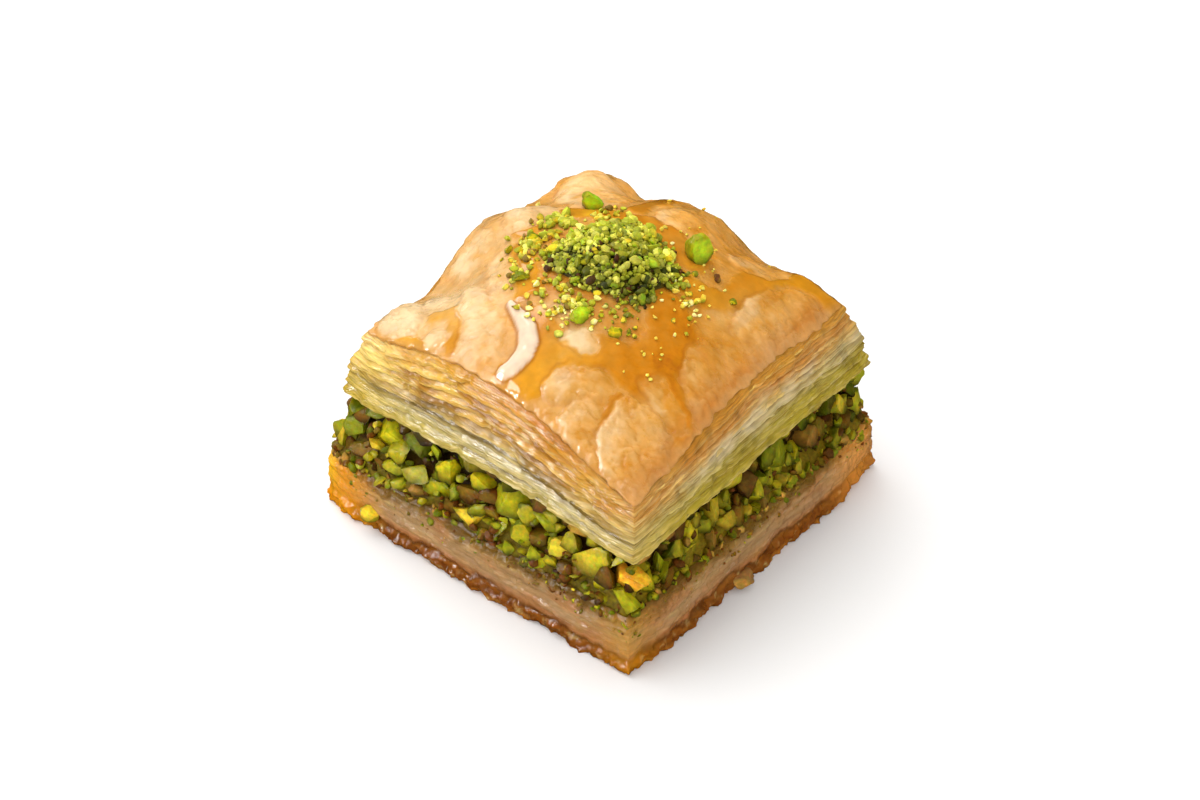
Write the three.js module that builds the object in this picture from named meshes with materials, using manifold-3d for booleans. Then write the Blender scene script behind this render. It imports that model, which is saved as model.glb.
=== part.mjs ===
// A square piece of pistachio baklava, in millimetres, +Z up.
// The origin is the middle of the flat underside; the cut sides run along X and Y.
//
// From the bottom up: a syrup-soaked pastry base, a layer of chopped pistachios that shows on
// all four cut sides, a puffed stack of pastry sheets under a blistered golden crust, and a
// small heap of ground pistachio on the crust.

import * as THREE from "three";
import { ConvexGeometry } from "three/addons/geometries/ConvexGeometry.js";
import { mergeVertices } from "three/addons/utils/BufferGeometryUtils.js";
import Module from "manifold-3d";

const wasm = await Module();
wasm.setup();

// ---------------------------------------------------------------- driving dimensions

const HALF_SIDE = 25;        // half the width of the piece at its base
const LAYER_GAP = 0.3;       // clear space between two layers that lie on each other
const SLIVER = 0.035;        // edges that stray less than this from their surface are dropped

// Corner heights and corner places are given in this order round the piece.
const corners = (near, right, back, left) => ({ near, right, back, left });

// How much the plan of a layer is drawn in at each corner, as a rounding radius.
const BASE_ROUNDING = corners(1.6, 4.0, 5.0, 4.6);
const NUT_ROUNDING = corners(2.6, 4.5, 5.0, 4.5);
const PASTRY_ROUNDING = corners(1.0, 2.0, 3.0, 2.0);

// Plan corners [x, y] of the base at its foot.
const BASE_FOOT = corners([25.3, -25.2], [25.1, 25.0], [-24.7, 24.9], [-24.7, -24.9]);

// Plan corners [x, y] of the pastry stack at its lower edge and at the edge of its crust.
const STACK_FOOT = corners([25.4, -24.6], [23.6, 23.6], [-22.6, 23.4], [-21.8, -22.6]);
const CRUST_EDGE = corners([24.0, -22.8], [21.0, 21.2], [-18.6, 19.2], [-19.6, -20.4]);

// Heights of the layers. Each layer is higher at the middle of a side than at the corners.
const BASE_TOP = 7.5;
const BASE_CROWN = 0.7;
const NUT_TOP = corners(16.6, 15.8, 16.2, 15.8);
const NUT_CROWN = { front: 2.0, right: 1.2, back: 1.6, left: 1.5 };
const CRUST_TOP = corners(23.6, 24.8, 27.6, 25.8);
const CRUST_CROWN = { front: 4.6, right: 2.6, back: 3.6, left: 3.2 };
const CRUST_DOME = 3.2;

// Swellings and hollows of the puffed crust: place in the plan (-1 to 1), height, two radii.
const CRUST_SWELLS = [
  { u: 0.10, v: 0.78, height: 0.9, ru: 0.22, rv: 0.22 },
  { u: -0.80, v: 0.02, height: 1.5, ru: 0.22, rv: 0.26 },
  { u: -0.84, v: 0.88, height: 1.9, ru: 0.22, rv: 0.22 },
  { u: 0.86, v: 0.86, height: 0.8, ru: 0.30, rv: 0.30 },
  { u: -0.95, v: -0.42, height: -3.6, ru: 0.36, rv: 0.28 },
  { u: 0.38, v: 0.97, height: -2.2, ru: 0.22, rv: 0.30 },
  { u: -0.50, v: 0.94, height: -1.5, ru: 0.14, rv: 0.22 },
  { u: -0.90, v: 0.45, height: -0.9, ru: 0.25, rv: 0.22 },
];

// Blisters: flat-topped bubbles with a steep rim, raised above the syrup between them.
const BLISTERS = [
  { u: 0.45, v: -0.78, height: 0.75, ru: 0.20, rv: 0.15 },
  { u: 0.80, v: -0.72, height: 0.80, ru: 0.17, rv: 0.20 },
  { u: -0.14, v: -0.80, height: 0.60, ru: 0.17, rv: 0.17 },
  { u: -0.55, v: -0.74, height: 0.60, ru: 0.22, rv: 0.20 },
  { u: 0.33, v: -0.55, height: 0.45, ru: 0.11, rv: 0.09 },
  { u: 0.86, v: -0.20, height: 0.50, ru: 0.13, rv: 0.22 },
  { u: 0.80, v: 0.44, height: 0.55, ru: 0.17, rv: 0.26 },
  { u: -0.62, v: 0.28, height: 0.45, ru: 0.18, rv: 0.20 },
  { u: 0.10, v: 0.66, height: 0.45, ru: 0.20, rv: 0.15 },
  { u: -0.50, v: 0.72, height: 0.50, ru: 0.20, rv: 0.15 },
  { u: 0.52, v: 0.76, height: 0.45, ru: 0.18, rv: 0.15 },
  { u: -0.74, v: -0.30, height: 0.45, ru: 0.15, rv: 0.22 },
];

// The stack's sheets: bundles that show as ledges, with a deeper groove between two stacks.
const SHEET_BUNDLES = 8;
const GROOVE_ABOVE_BUNDLE = 3;
const LEDGE_OUT = 0.34;
const LEDGE_IN = 0.36;
const GROOVE_IN = 0.85;

// Heap of ground pistachio on the crust: its middle, its plan radius and its height.
const HEAP_CENTRE = [2.9, -0.8];
const HEAP_RADIUS = 6.7;
const HEAP_HEIGHT = 1.9;
const HEAP_GRAINS = 58;

// Larger pistachio pieces stuck on the crust round the heap: place in the plan,
// [length, width, height], turn about the upright.
const CRUST_NUTS = [
  { u: 0.38, v: 0.41, size: [3.9, 2.6, 2.5], turn: 0.9 },
  { u: -0.40, v: 0.36, size: [2.7, 2.2, 2.0], turn: 0.2 },
  { u: -0.28, v: -0.43, size: [2.3, 1.5, 1.4], turn: 0.5 },
  { u: 0.18, v: -0.46, size: [2.6, 2.1, 1.7], turn: 1.1 },
  { u: 0.37, v: -0.40, size: [1.9, 1.5, 1.4], turn: 0.4 },
  { u: -0.45, v: -0.12, size: [1.7, 1.4, 1.2], turn: 0.3 },
  { u: -0.54, v: -0.22, size: [1.5, 1.2, 1.1], turn: 1.2 },
  { u: 0.66, v: 0.32, size: [1.1, 0.9, 0.9], turn: 0.0 },
];

// Nut pieces that stand out at the near corner and on the two sides beside it:
// [x, y, z] of the middle, [length, width, height], turn about the upright.
const FACE_NUTS = [
  { at: [23.6, -23.8, 14.0], size: [5.0, 4.6, 3.4], turn: 0.7 },
  { at: [23.5, -23.7, 10.4], size: [5.0, 4.6, 3.6], turn: 0.2 },
  { at: [5.4, -23.0, 14.4], size: [4.6, 4.0, 3.4], turn: 0.1 },
  { at: [-9.3, -22.2, 15.2], size: [3.6, 4.0, 3.6], turn: 0.5 },
  { at: [-14.2, -22.4, 13.2], size: [3.6, 4.0, 3.9], turn: -0.3 },
  { at: [-20.6, -21.9, 12.0], size: [3.8, 3.8, 3.4], turn: 0.4 },
  { at: [-5.0, -23.2, 11.4], size: [4.4, 3.6, 3.2], turn: 0.5 },
  { at: [0.0, -23.4, 10.4], size: [3.8, 3.4, 2.6], turn: 0.0 },
  { at: [8.4, -23.3, 10.9], size: [3.2, 3.6, 3.6], turn: 0.2 },
  { at: [13.6, -23.3, 12.0], size: [3.2, 3.6, 3.2], turn: -0.4 },
  { at: [18.0, -23.3, 12.9], size: [4.0, 3.6, 3.4], turn: 0.5 },
  { at: [23.4, -13.5, 12.2], size: [3.8, 2.8, 5.6], turn: 0.2 },
  { at: [23.2, -8.0, 13.5], size: [4.0, 3.6, 3.8], turn: 0.0 },
  { at: [22.9, -3.8, 14.8], size: [4.0, 4.0, 3.6], turn: 0.3 },
  { at: [23.0, 3.8, 13.8], size: [3.8, 3.2, 4.0], turn: 0.0 },
  { at: [22.4, 11.5, 14.6], size: [3.8, 3.6, 2.8], turn: 0.3 },
  { at: [21.8, 21.2, 14.4], size: [3.8, 3.8, 3.6], turn: 0.6 },
  { at: [22.8, 21.2, 11.0], size: [4.0, 3.8, 3.0], turn: 0.1 },
];

// The pastry flake that sticks out of the base's lower rim, and the nut stuck on its front.
const BASE_FLAKE = { at: [25.6, -4.2, 1.2], size: [2.6, 4.2, 1.6], turn: 0.2 };
const BASE_NUT = { at: [-15.2, -25.2, 2.9], size: [2.6, 1.8, 2.3], turn: 0.4 };

// ---------------------------------------------------------------- small helpers

const GOLDEN_ANGLE = Math.PI * (3 - Math.sqrt(5));

// A repeatable stream of numbers from 0 to 1.
function randomStream(seed) {
  let state = seed;
  return () => {
    state = (state + 0x6d2b79f5) | 0;
    let mixed = Math.imul(state ^ (state >>> 15), 1 | state);
    mixed = (mixed + Math.imul(mixed ^ (mixed >>> 7), 61 | mixed)) ^ mixed;
    return ((mixed ^ (mixed >>> 14)) >>> 0) / 4294967296;
  };
}

const between = (random, low, high) => low + (high - low) * random();

// A value that changes evenly from corner to corner; u runs along X and v along Y, -1 to 1.
function blendCorners(values, u, v) {
  return (values.near * (1 + u) * (1 - v)
    + values.right * (1 + u) * (1 + v)
    + values.back * (1 - u) * (1 + v)
    + values.left * (1 - u) * (1 - v)) / 4;
}

// A crown along the sides: each side's own rise at its middle, none at the corners.
function crownOf(rise, u, v, bell) {
  const alongX = bell(u) * (rise.front * (1 - v) + rise.back * (1 + v)) / 2;
  const alongY = bell(v) * (rise.left * (1 - u) + rise.right * (1 + u)) / 2;
  return alongX + alongY;
}

const roundBell = (t) => 1 - t * t;
const softBell = (t) => Math.max(0, 1 - t * t) ** 1.7;

function smoothStep(low, high, value) {
  const t = Math.min(1, Math.max(0, (value - low) / (high - low)));
  return t * t * (3 - 2 * t);
}

// ---------------------------------------------------------------- layer surfaces

// The two shared surfaces between the layers, as heights over a place [x, y].
function baseTopHeight(x, y) {
  const u = x / HALF_SIDE;
  const v = y / HALF_SIDE;
  return BASE_TOP + BASE_CROWN * (1 - u * u * v * v);
}

function nutTopHeight(x, y) {
  const u = x / HALF_SIDE;
  const v = y / HALF_SIDE;
  return blendCorners(NUT_TOP, u, v) + crownOf(NUT_CROWN, u, v, roundBell);
}

// The crust, as a height over a place (u, v) in the plan of the crust.
function crustHeight(u, v) {
  let height = blendCorners(CRUST_TOP, u, v) + crownOf(CRUST_CROWN, u, v, softBell);
  height += CRUST_DOME * (1 - Math.abs(u) ** 2.6) * (1 - Math.abs(v) ** 2.6);
  for (const swell of CRUST_SWELLS) {
    const away = ((u - swell.u) / swell.ru) ** 2 + ((v - swell.v) / swell.rv) ** 2;
    height += swell.height * Math.exp(-away);
  }
  return height + blisterHeight(u, v);
}

function blisterHeight(u, v) {
  let height = 0;
  for (const blister of BLISTERS) {
    const turn = Math.atan2(v - blister.v, u - blister.u);
    const lobes = 1 + 0.10 * Math.sin(3 * turn + 7 * blister.u) + 0.06 * Math.sin(5 * turn);
    const away = Math.hypot((u - blister.u) / blister.ru, (v - blister.v) / blister.rv) / lobes;
    height = Math.max(height, blister.height * (1 - smoothStep(0.62, 1.12, away)));
  }
  return height;
}

// ---------------------------------------------------------------- plans

// Draws a place in the unit square in towards rounded corners: a corner rounded with a radius
// lies 0.293 of that radius inside the square corner, along each side.
function roundedPlace(rounding, u, v) {
  const sharpness = 8;
  const drawIn = 1 - Math.SQRT1_2;
  const pull = drawIn * blendCorners(rounding, u, v) / HALF_SIDE;
  return [u * (1 - pull * Math.abs(v) ** sharpness), v * (1 - pull * Math.abs(u) ** sharpness)];
}

// The plan place [x, y] of (u, v) in a layer whose four plan corners are given.
function planPlace(planCorners, rounding, u, v) {
  const [ru, rv] = roundedPlace(rounding, u, v);
  const pick = (axis) => corners(...["near", "right", "back", "left"].map((name) => planCorners[name][axis]));
  return [blendCorners(pick(0), ru, rv), blendCorners(pick(1), ru, rv)];
}

const squareCorners = (half) => corners([half, -half], [half, half], [-half, half], [-half, -half]);

// The direction straight out of the piece at the edge place (u, v); odd powers keep the sign.
function outward(u, v) {
  return new THREE.Vector2(u ** 9, v ** 9).normalize();
}

// An uneven line round the piece, about -1 to 1: turn runs 0 to 1 once round.
function unevenness(turn, seed) {
  const angle = 2 * Math.PI * turn;
  return (0.5 * Math.sin(7 * angle + 1.7 * seed)
    + 0.32 * Math.sin(13 * angle + 2.9 * seed)
    + 0.28 * Math.sin(23 * angle + 4.3 * seed));
}

// ---------------------------------------------------------------- closed layers

// The places (u, v) round the unit square, counter-clockwise from its left near corner.
function squareRim(steps) {
  const rim = [];
  const at = (index) => -1 + 2 * index / steps;
  for (let i = 0; i < steps; i += 1) rim.push([at(i), -1]);
  for (let i = 0; i < steps; i += 1) rim.push([1, at(i)]);
  for (let i = steps; i > 0; i -= 1) rim.push([at(i), 1]);
  for (let i = steps; i > 0; i -= 1) rim.push([-1, at(i)]);
  return rim;
}

// Collects shared vertices and triangles into one closed surface.
class Surface {
  constructor() {
    this.points = [];
    this.triangles = [];
  }

  point([x, y, z]) {
    this.points.push(x, y, z);
    return this.points.length / 3 - 1;
  }

  quad(a, b, c, d) {
    this.triangles.push(a, b, c, a, c, d);
  }

  // A band between two closed rows of points; the second row is above or inside the first.
  band(first, second) {
    for (let i = 0; i < first.length; i += 1) {
      const next = (i + 1) % first.length;
      this.quad(first[i], first[next], second[next], second[i]);
    }
  }

  // A fan from a closed row to one point.
  fan(row, apex) {
    for (let i = 0; i < row.length; i += 1) {
      this.triangles.push(row[i], row[(i + 1) % row.length], apex);
    }
  }

  geometry() {
    const geometry = new THREE.BufferGeometry();
    geometry.setAttribute("position", new THREE.Float32BufferAttribute(this.points, 3));
    geometry.setIndex(this.triangles);
    return geometry;
  }
}

// Closes a row from below or above with rings that shrink to a middle place.
function addRings(surface, rim, edgeRow, shrinks, place, fromBelow, middle = [0, 0]) {
  let outer = edgeRow;
  for (const shrink of shrinks) {
    const inner = rim.map(([u, v]) => surface.point(place(u * shrink, v * shrink)));
    if (fromBelow) surface.band(inner, outer);
    else surface.band(outer, inner);
    outer = inner;
  }
  const apex = surface.point(place(...middle));
  if (fromBelow) surface.fan([...outer].reverse(), apex);
  else surface.fan(outer, apex);
}

// Closes the top row with a full grid, for a surface with relief of its own.
function addGrid(surface, steps, edgeRow, place) {
  const index = Array.from({ length: steps + 1 }, () => new Array(steps + 1));
  squareRim(steps).forEach(([u, v], k) => {
    index[Math.round((u + 1) * steps / 2)][Math.round((v + 1) * steps / 2)] = edgeRow[k];
  });
  for (let i = 1; i < steps; i += 1) {
    for (let j = 1; j < steps; j += 1) {
      index[i][j] = surface.point(place(-1 + 2 * i / steps, -1 + 2 * j / steps));
    }
  }
  for (let i = 0; i < steps; i += 1) {
    for (let j = 0; j < steps; j += 1) {
      surface.quad(index[i][j], index[i + 1][j], index[i + 1][j + 1], index[i][j + 1]);
    }
  }
}

// The side wall: rows of points from the lowest to the highest, joined by bands.
function addWall(surface, rim, rows) {
  const indexed = rows.map((row) => rim.map(([u, v], k) => surface.point(row(u, v, k / rim.length))));
  for (let i = 0; i + 1 < indexed.length; i += 1) surface.band(indexed[i], indexed[i + 1]);
  return { lowest: indexed[0], highest: indexed[indexed.length - 1] };
}

// ---------------------------------------------------------------- joins and cuts

function solidOf(geometry) {
  const bare = geometry.clone();
  bare.deleteAttribute("normal");
  bare.deleteAttribute("uv");
  const shared = mergeVertices(bare, 1e-4);
  return new wasm.Manifold(new wasm.Mesh({
    numProp: 3,
    vertProperties: new Float32Array(shared.attributes.position.array),
    triVerts: new Uint32Array(shared.index.array),
  }));
}

// Gives a solid back as a geometry, without the slivers that joins and cuts leave.
function geometryOf(solid) {
  const mesh = solid.simplify(SLIVER).getMesh();
  const geometry = new THREE.BufferGeometry();
  geometry.setAttribute("position", new THREE.Float32BufferAttribute(mesh.vertProperties, 3));
  geometry.setIndex(Array.from(mesh.triVerts));
  return geometry;
}

function fuse(core, pieces) {
  return pieces.reduce((whole, piece) => whole.add(solidOf(piece)), solidOf(core));
}

// The largest body of a solid, without the loose scraps that a cut leaves.
function largestBody(solid) {
  return solid.decompose().reduce((largest, body) => (body.volume() > largest.volume() ? body : largest));
}

// An angular nut piece: the hull of points scattered on a ball, stretched, turned and placed.
function nutPiece(random, [length, width, height], place, turn, points = 10) {
  const scattered = [];
  for (let i = 0; i < points; i += 1) {
    const z = 1 - 2 * (i + 0.5) / points;
    const angle = GOLDEN_ANGLE * i + between(random, -0.35, 0.35);
    const reach = Math.sqrt(1 - z * z);
    const swell = between(random, 0.86, 1.12);
    scattered.push(new THREE.Vector3(
      0.5 * length * swell * reach * Math.cos(angle),
      0.5 * width * swell * reach * Math.sin(angle),
      0.5 * height * swell * z,
    ));
  }
  const tilt = new THREE.Euler(between(random, -0.5, 0.5), between(random, -0.5, 0.5), turn, "ZYX");
  const piece = new ConvexGeometry(scattered);
  piece.applyMatrix4(new THREE.Matrix4().makeRotationFromEuler(tilt));
  piece.translate(...place);
  return piece;
}

// ---------------------------------------------------------------- bottom pastry

const BASE_STEPS = 19;
const BASE_RIM_ROWS = 3;         // the lowest rows share one uneven line: the thick syrupy rim
const BASE_ROWS = [              // rows up the side: share of the height, step out, unevenness
  { share: 0.00, out: -0.25, uneven: 0.40 },
  { share: 0.08, out: 0.20, uneven: 0.50 },
  { share: 0.20, out: 0.20, uneven: 0.42 },
  { share: 0.30, out: -0.20, uneven: 0.20 },
  { share: 0.44, out: 0.00, uneven: 0.16 },
  { share: 0.57, out: -0.35, uneven: 0.14 },
  { share: 0.74, out: -0.15, uneven: 0.14 },
  { share: 0.86, out: -0.50, uneven: 0.16 },
  { share: 1.00, out: -0.60, uneven: 0.16 },
];
const BASE_RINGS = [0.8, 0.55, 0.3];
const UNDERSIDE_MIDDLE = [0.2, 0.15];

function basePlace(u, v) {
  return planPlace(BASE_FOOT, BASE_ROUNDING, u, v);
}

function bottomPastry() {
  const surface = new Surface();
  const rim = squareRim(BASE_STEPS);
  const rows = BASE_ROWS.map(({ share, out, uneven }, seed) => (u, v, turn) => {
    const [x, y] = basePlace(u, v);
    const way = outward(u, v);
    const step = out + uneven * unevenness(turn, seed < BASE_RIM_ROWS ? 1 : seed);
    return [x + way.x * step, y + way.y * step, share * baseTopHeight(x, y)];
  });
  const wall = addWall(surface, rim, rows);
  const top = (u, v) => {
    const [x, y] = basePlace(u, v);
    return [x, y, baseTopHeight(x, y)];
  };
  const underside = (u, v) => [...basePlace(u, v), 0];
  addRings(surface, rim, wall.highest, BASE_RINGS, top, false);
  addRings(surface, rim, wall.lowest, [], underside, true, UNDERSIDE_MIDDLE);

  const random = randomStream(41);
  const stuckOn = [BASE_NUT, BASE_FLAKE].map(({ at, size, turn }) => nutPiece(random, size, at, turn, 9));
  return geometryOf(fuse(surface.geometry(), stuckOn));
}

// ---------------------------------------------------------------- pistachio filling

const NUT_STEPS = 9;
const NUT_CORE_INSET = 1.7;      // the packed middle of the filling lies behind its outer nuts
const NUT_RUBBLE = 0.55;         // how far the packed middle's own bumps stand out or in
const NUT_LAYER_LEAN = 0.7;      // the filling leans in by this much from its foot to its top
const NUT_SPACING = 4.2;         // one nut to the next along a side
const NUT_JITTER = 0.3;          // how far a nut strays from its row
const NAMED_NUT_ROOM = 2.8;      // no other nut has its middle this near to a named one
const NUT_ROWS = [               // rows up a side: share of the height, depth, length of its nuts
  { share: 0.14, inset: 0.9, low: 2.3, high: 3.1 },
  { share: 0.46, inset: 1.5, low: 3.7, high: 4.6 },
  { share: 0.82, inset: 1.7, low: 3.7, high: 4.8 },
];
const CORE_LEVELS = [0, 0.3, 0.65, 1];
const INNER_RINGS = [0.7, 0.35];

// The filling's own outline at a share of its height.
function nutPlace(u, v, share, inset) {
  const foot = planPlace(squareCorners(HALF_SIDE - inset), NUT_ROUNDING, u, v);
  const top = planPlace(STACK_FOOT, NUT_ROUNDING, u, v);
  const way = outward(u, v);
  const topInset = inset + NUT_LAYER_LEAN;
  const leaned = [top[0] - way.x * topInset, top[1] - way.y * topInset];
  return [foot[0] + share * (leaned[0] - foot[0]), foot[1] + share * (leaned[1] - foot[1])];
}

function nutLevel(x, y, share) {
  const low = baseTopHeight(x, y) + LAYER_GAP / 2;
  const high = nutTopHeight(x, y) - LAYER_GAP / 2;
  return low + share * (high - low);
}

// A slab between the two shared surfaces, as wide as its inset allows, with a rough side.
function nutSlab({ inset, shares, rubble }) {
  const surface = new Surface();
  const random = randomStream(63);
  const rim = squareRim(NUT_STEPS);
  const at = (share) => (u, v) => {
    const [x, y] = nutPlace(u, v, share, inset);
    return [x, y, nutLevel(x, y, share)];
  };
  const roughRow = (share) => (u, v) => {
    const [x, y] = nutPlace(u, v, share, inset + between(random, -rubble, rubble));
    return [x, y, nutLevel(x, y, share)];
  };
  const wall = addWall(surface, rim, shares.map(roughRow));
  addRings(surface, rim, wall.highest, INNER_RINGS, at(1), false);
  addRings(surface, rim, wall.lowest, INNER_RINGS, at(0), true);
  return surface.geometry();
}

// Rows of nuts along the four sides; a place near a named nut stays free for it.
function sideNuts(random) {
  const pieces = [];
  const perSide = Math.round(2 * HALF_SIDE / NUT_SPACING);
  const sides = [
    (t) => [t, -1], (t) => [1, t], (t) => [-t, 1], (t) => [-1, -t],
  ];
  for (const side of sides) {
    for (const [index, row] of NUT_ROWS.entries()) {
      for (let i = 0; i < perSide; i += 1) {
        const along = -1 + (2 * i + 1 + (index % 2)) / perSide + between(random, -0.03, 0.03);
        const [u, v] = side(Math.min(along, 0.99));
        const inset = row.inset + between(random, -NUT_JITTER, NUT_JITTER);
        const [x, y] = nutPlace(u, v, row.share, inset);
        const z = nutLevel(x, y, row.share) + between(random, -NUT_JITTER, NUT_JITTER);
        const length = between(random, row.low, row.high);
        const size = [length, length * between(random, 0.7, 0.95), length * between(random, 0.7, 1.0)];
        const turn = Math.PI / 2 * sides.indexOf(side) + between(random, -0.5, 0.5);
        const toNamed = ({ at }) => Math.hypot(x - at[0], y - at[1], z - at[2]);
        const taken = FACE_NUTS.some((nut) => toNamed(nut) < NAMED_NUT_ROOM);
        if (!taken) pieces.push(nutPiece(random, size, [x, y, z], turn, 6));
      }
    }
  }
  return pieces;
}

function pistachioFilling() {
  const random = randomStream(7);
  const core = nutSlab({ inset: NUT_CORE_INSET, shares: CORE_LEVELS, rubble: NUT_RUBBLE });
  const room = nutSlab({ inset: -4, shares: [0, 1], rubble: 0 });    // wider than every nut
  const named = FACE_NUTS.map((nut) => nutPiece(random, nut.size, nut.at, nut.turn, 9));
  const whole = fuse(core, [...sideNuts(random), ...named]);
  return geometryOf(largestBody(whole.intersect(solidOf(room))));
}

// ---------------------------------------------------------------- top pastry

const STACK_STEPS = 23;
const LEDGE_RAGGED = 0.30;       // how uneven the ledges' outer edges are
const CRUST_RAGGED = 0.12;       // and the crust's own edge, and the hollows between ledges
const LEDGE_LIP = 0.35;          // where in a bundle its edge stands out, and where it is hollow
const LEDGE_HOLLOW = 0.85;
const CORNER_FADE = 0.6;         // how much less the ledges stand out at a corner

// A place on the stack's wall: share 0 at its foot, 1 at the crust.
function stackPlace(u, v, share) {
  const foot = planPlace(STACK_FOOT, PASTRY_ROUNDING, u, v);
  const crust = planPlace(CRUST_EDGE, PASTRY_ROUNDING, u, v);
  const x = foot[0] + share * (crust[0] - foot[0]);
  const y = foot[1] + share * (crust[1] - foot[1]);
  const low = nutTopHeight(x, y) + LAYER_GAP / 2;
  const high = crustHeight(u, v);
  return [x, y, low + share * (high - low)];
}

// A row of the wall that stands out by a step; ledges fade towards the corners.
function ledgeRow(share, step, raggedness, seed) {
  return (u, v, turn) => {
    const [x, y, z] = stackPlace(u, v, share);
    const way = outward(u, v);
    const fade = 1 - CORNER_FADE * Math.abs(u * v) ** 4;
    const reach = fade * (step + raggedness * unevenness(turn, seed));
    return [x + way.x * reach, y + way.y * reach, z];
  };
}

function topPastryCore() {
  const surface = new Surface();
  const rim = squareRim(STACK_STEPS);
  const topBundle = SHEET_BUNDLES - 1;
  const rows = [];
  for (let i = 0; i < SHEET_BUNDLES; i += 1) {
    const ragged = i === topBundle ? CRUST_RAGGED : LEDGE_RAGGED;
    const hollow = i === GROOVE_ABOVE_BUNDLE ? GROOVE_IN : LEDGE_IN;
    const lipShare = i === 0 ? 0 : (i + LEDGE_LIP) / SHEET_BUNDLES;
    const hollowShare = (i + LEDGE_HOLLOW) / SHEET_BUNDLES;
    rows.push(ledgeRow(lipShare, LEDGE_OUT, ragged, i));
    if (i < topBundle) rows.push(ledgeRow(hollowShare, -hollow, CRUST_RAGGED, i + SHEET_BUNDLES));
  }
  rows.push(ledgeRow(1, 0, CRUST_RAGGED, topBundle));
  const wall = addWall(surface, rim, rows);
  addGrid(surface, STACK_STEPS, wall.highest, (u, v) => stackPlace(u, v, 1));
  addRings(surface, rim, wall.lowest, INNER_RINGS, (u, v) => stackPlace(u, v, 0), true);
  return surface.geometry();
}

const NUT_STANDS_OUT = 0.3;      // height of a nut's middle over the crust, as a share of its own

function topPastry() {
  const random = randomStream(19);
  const nuts = CRUST_NUTS.map(({ u, v, size, turn }) => {
    const [x, y, z] = stackPlace(u, v, 1);
    return nutPiece(random, size, [x, y, z + NUT_STANDS_OUT * size[2]], turn, 12);
  });
  return fuse(topPastryCore(), nuts);
}

// ---------------------------------------------------------------- pistachio heap

const HEAP_SECTORS = 22;
const HEAP_RINGS = [0.9, 0.65, 0.35];
const HEAP_CORE = 0.8;           // the mound under the grains has this share of the heap's height
const GRAIN_LIFT = 0.55;         // the lowest grains' middles lie this far over the crust
const HEAP_ROOT = 2;             // how far the mound reaches below the crust before it is cut

// The heap's uneven outline: its plan radius towards an angle.
function heapReach(angle) {
  return HEAP_RADIUS * (1 + 0.08 * Math.sin(2 * angle + 0.6) + 0.06 * Math.sin(3 * angle + 2.0)
    + 0.05 * Math.sin(5 * angle));
}

// Height of the crust under a place [x, y] near the middle, where plan and (u, v) run alike.
function crustUnder(x, y) {
  let u = x / HALF_SIDE;
  let v = y / HALF_SIDE;
  for (let pass = 0; pass < 12; pass += 1) {
    const [px, py] = stackPlace(u, v, 1);
    u += (x - px) / HALF_SIDE;
    v += (y - py) / HALF_SIDE;
  }
  return crustHeight(u, v);
}

function heapHeight(x, y) {
  const dx = x - HEAP_CENTRE[0];
  const dy = y - HEAP_CENTRE[1];
  const share = Math.hypot(dx, dy) / heapReach(Math.atan2(dy, dx));
  return HEAP_HEIGHT * Math.max(0, 1 - share * share) ** 0.75;
}

// A low mound that starts below the crust; the cut along the crust gives it its underside.
function heapCore() {
  const surface = new Surface();
  const ring = (share) => Array.from({ length: HEAP_SECTORS }, (_, k) => {
    const angle = 2 * Math.PI * k / HEAP_SECTORS;
    const reach = share * heapReach(angle);
    return [HEAP_CENTRE[0] + reach * Math.cos(angle), HEAP_CENTRE[1] + reach * Math.sin(angle)];
  });
  const lower = ([x, y]) => surface.point([x, y, crustUnder(x, y) - HEAP_ROOT]);
  const upper = ([x, y]) => {
    const lift = GRAIN_LIFT + HEAP_CORE * heapHeight(x, y);
    return surface.point([x, y, crustUnder(x, y) + lift]);
  };
  const lowRow = ring(HEAP_RINGS[0]).map(lower);
  const rows = HEAP_RINGS.map((share) => ring(share).map(upper));
  surface.fan([...lowRow].reverse(), lower(HEAP_CENTRE));
  surface.band(lowRow, rows[0]);
  surface.band(rows[0], rows[1]);
  surface.band(rows[1], rows[2]);
  surface.fan(rows[2], upper(HEAP_CENTRE));
  return surface.geometry();
}

function pistachioTopping(pastry) {
  const random = randomStream(88);
  const grains = [];
  for (let i = 0; i < HEAP_GRAINS; i += 1) {
    const share = 0.97 * Math.sqrt((i + 0.5) / HEAP_GRAINS);
    const angle = GOLDEN_ANGLE * i + between(random, -0.15, 0.15);
    const reach = share * heapReach(angle);
    const x = HEAP_CENTRE[0] + reach * Math.cos(angle);
    const y = HEAP_CENTRE[1] + reach * Math.sin(angle);
    const z = crustUnder(x, y) + GRAIN_LIFT + 0.9 * heapHeight(x, y);
    const length = between(random, 1.2, 1.9);
    const size = [length, length * between(random, 0.7, 0.95), length * between(random, 0.7, 0.95)];
    grains.push(nutPiece(random, size, [x, y, z], between(random, 0, Math.PI), 7));
  }
  const raised = geometryOf(pastry);
  raised.translate(0, 0, LAYER_GAP);
  return geometryOf(largestBody(fuse(heapCore(), grains).subtract(solidOf(raised))));
}

// ---------------------------------------------------------------- the piece

function food(name, geometry, color, roughness) {
  const material = new THREE.MeshStandardMaterial({ color, roughness, metalness: 0, flatShading: true });
  const mesh = new THREE.Mesh(geometry, material);
  mesh.name = name;
  return mesh;
}

const pastry = topPastry();

const group = new THREE.Group();
group.add(
  food("bottom_pastry", bottomPastry(), 0xa9713a, 0.30),
  food("pistachio_filling", pistachioFilling(), 0x7f8f2c, 0.55),
  food("top_pastry", geometryOf(pastry), 0xe0a04c, 0.28),
  food("pistachio_topping", pistachioTopping(pastry), 0xa9bf45, 0.70),
);

export default group;
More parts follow.
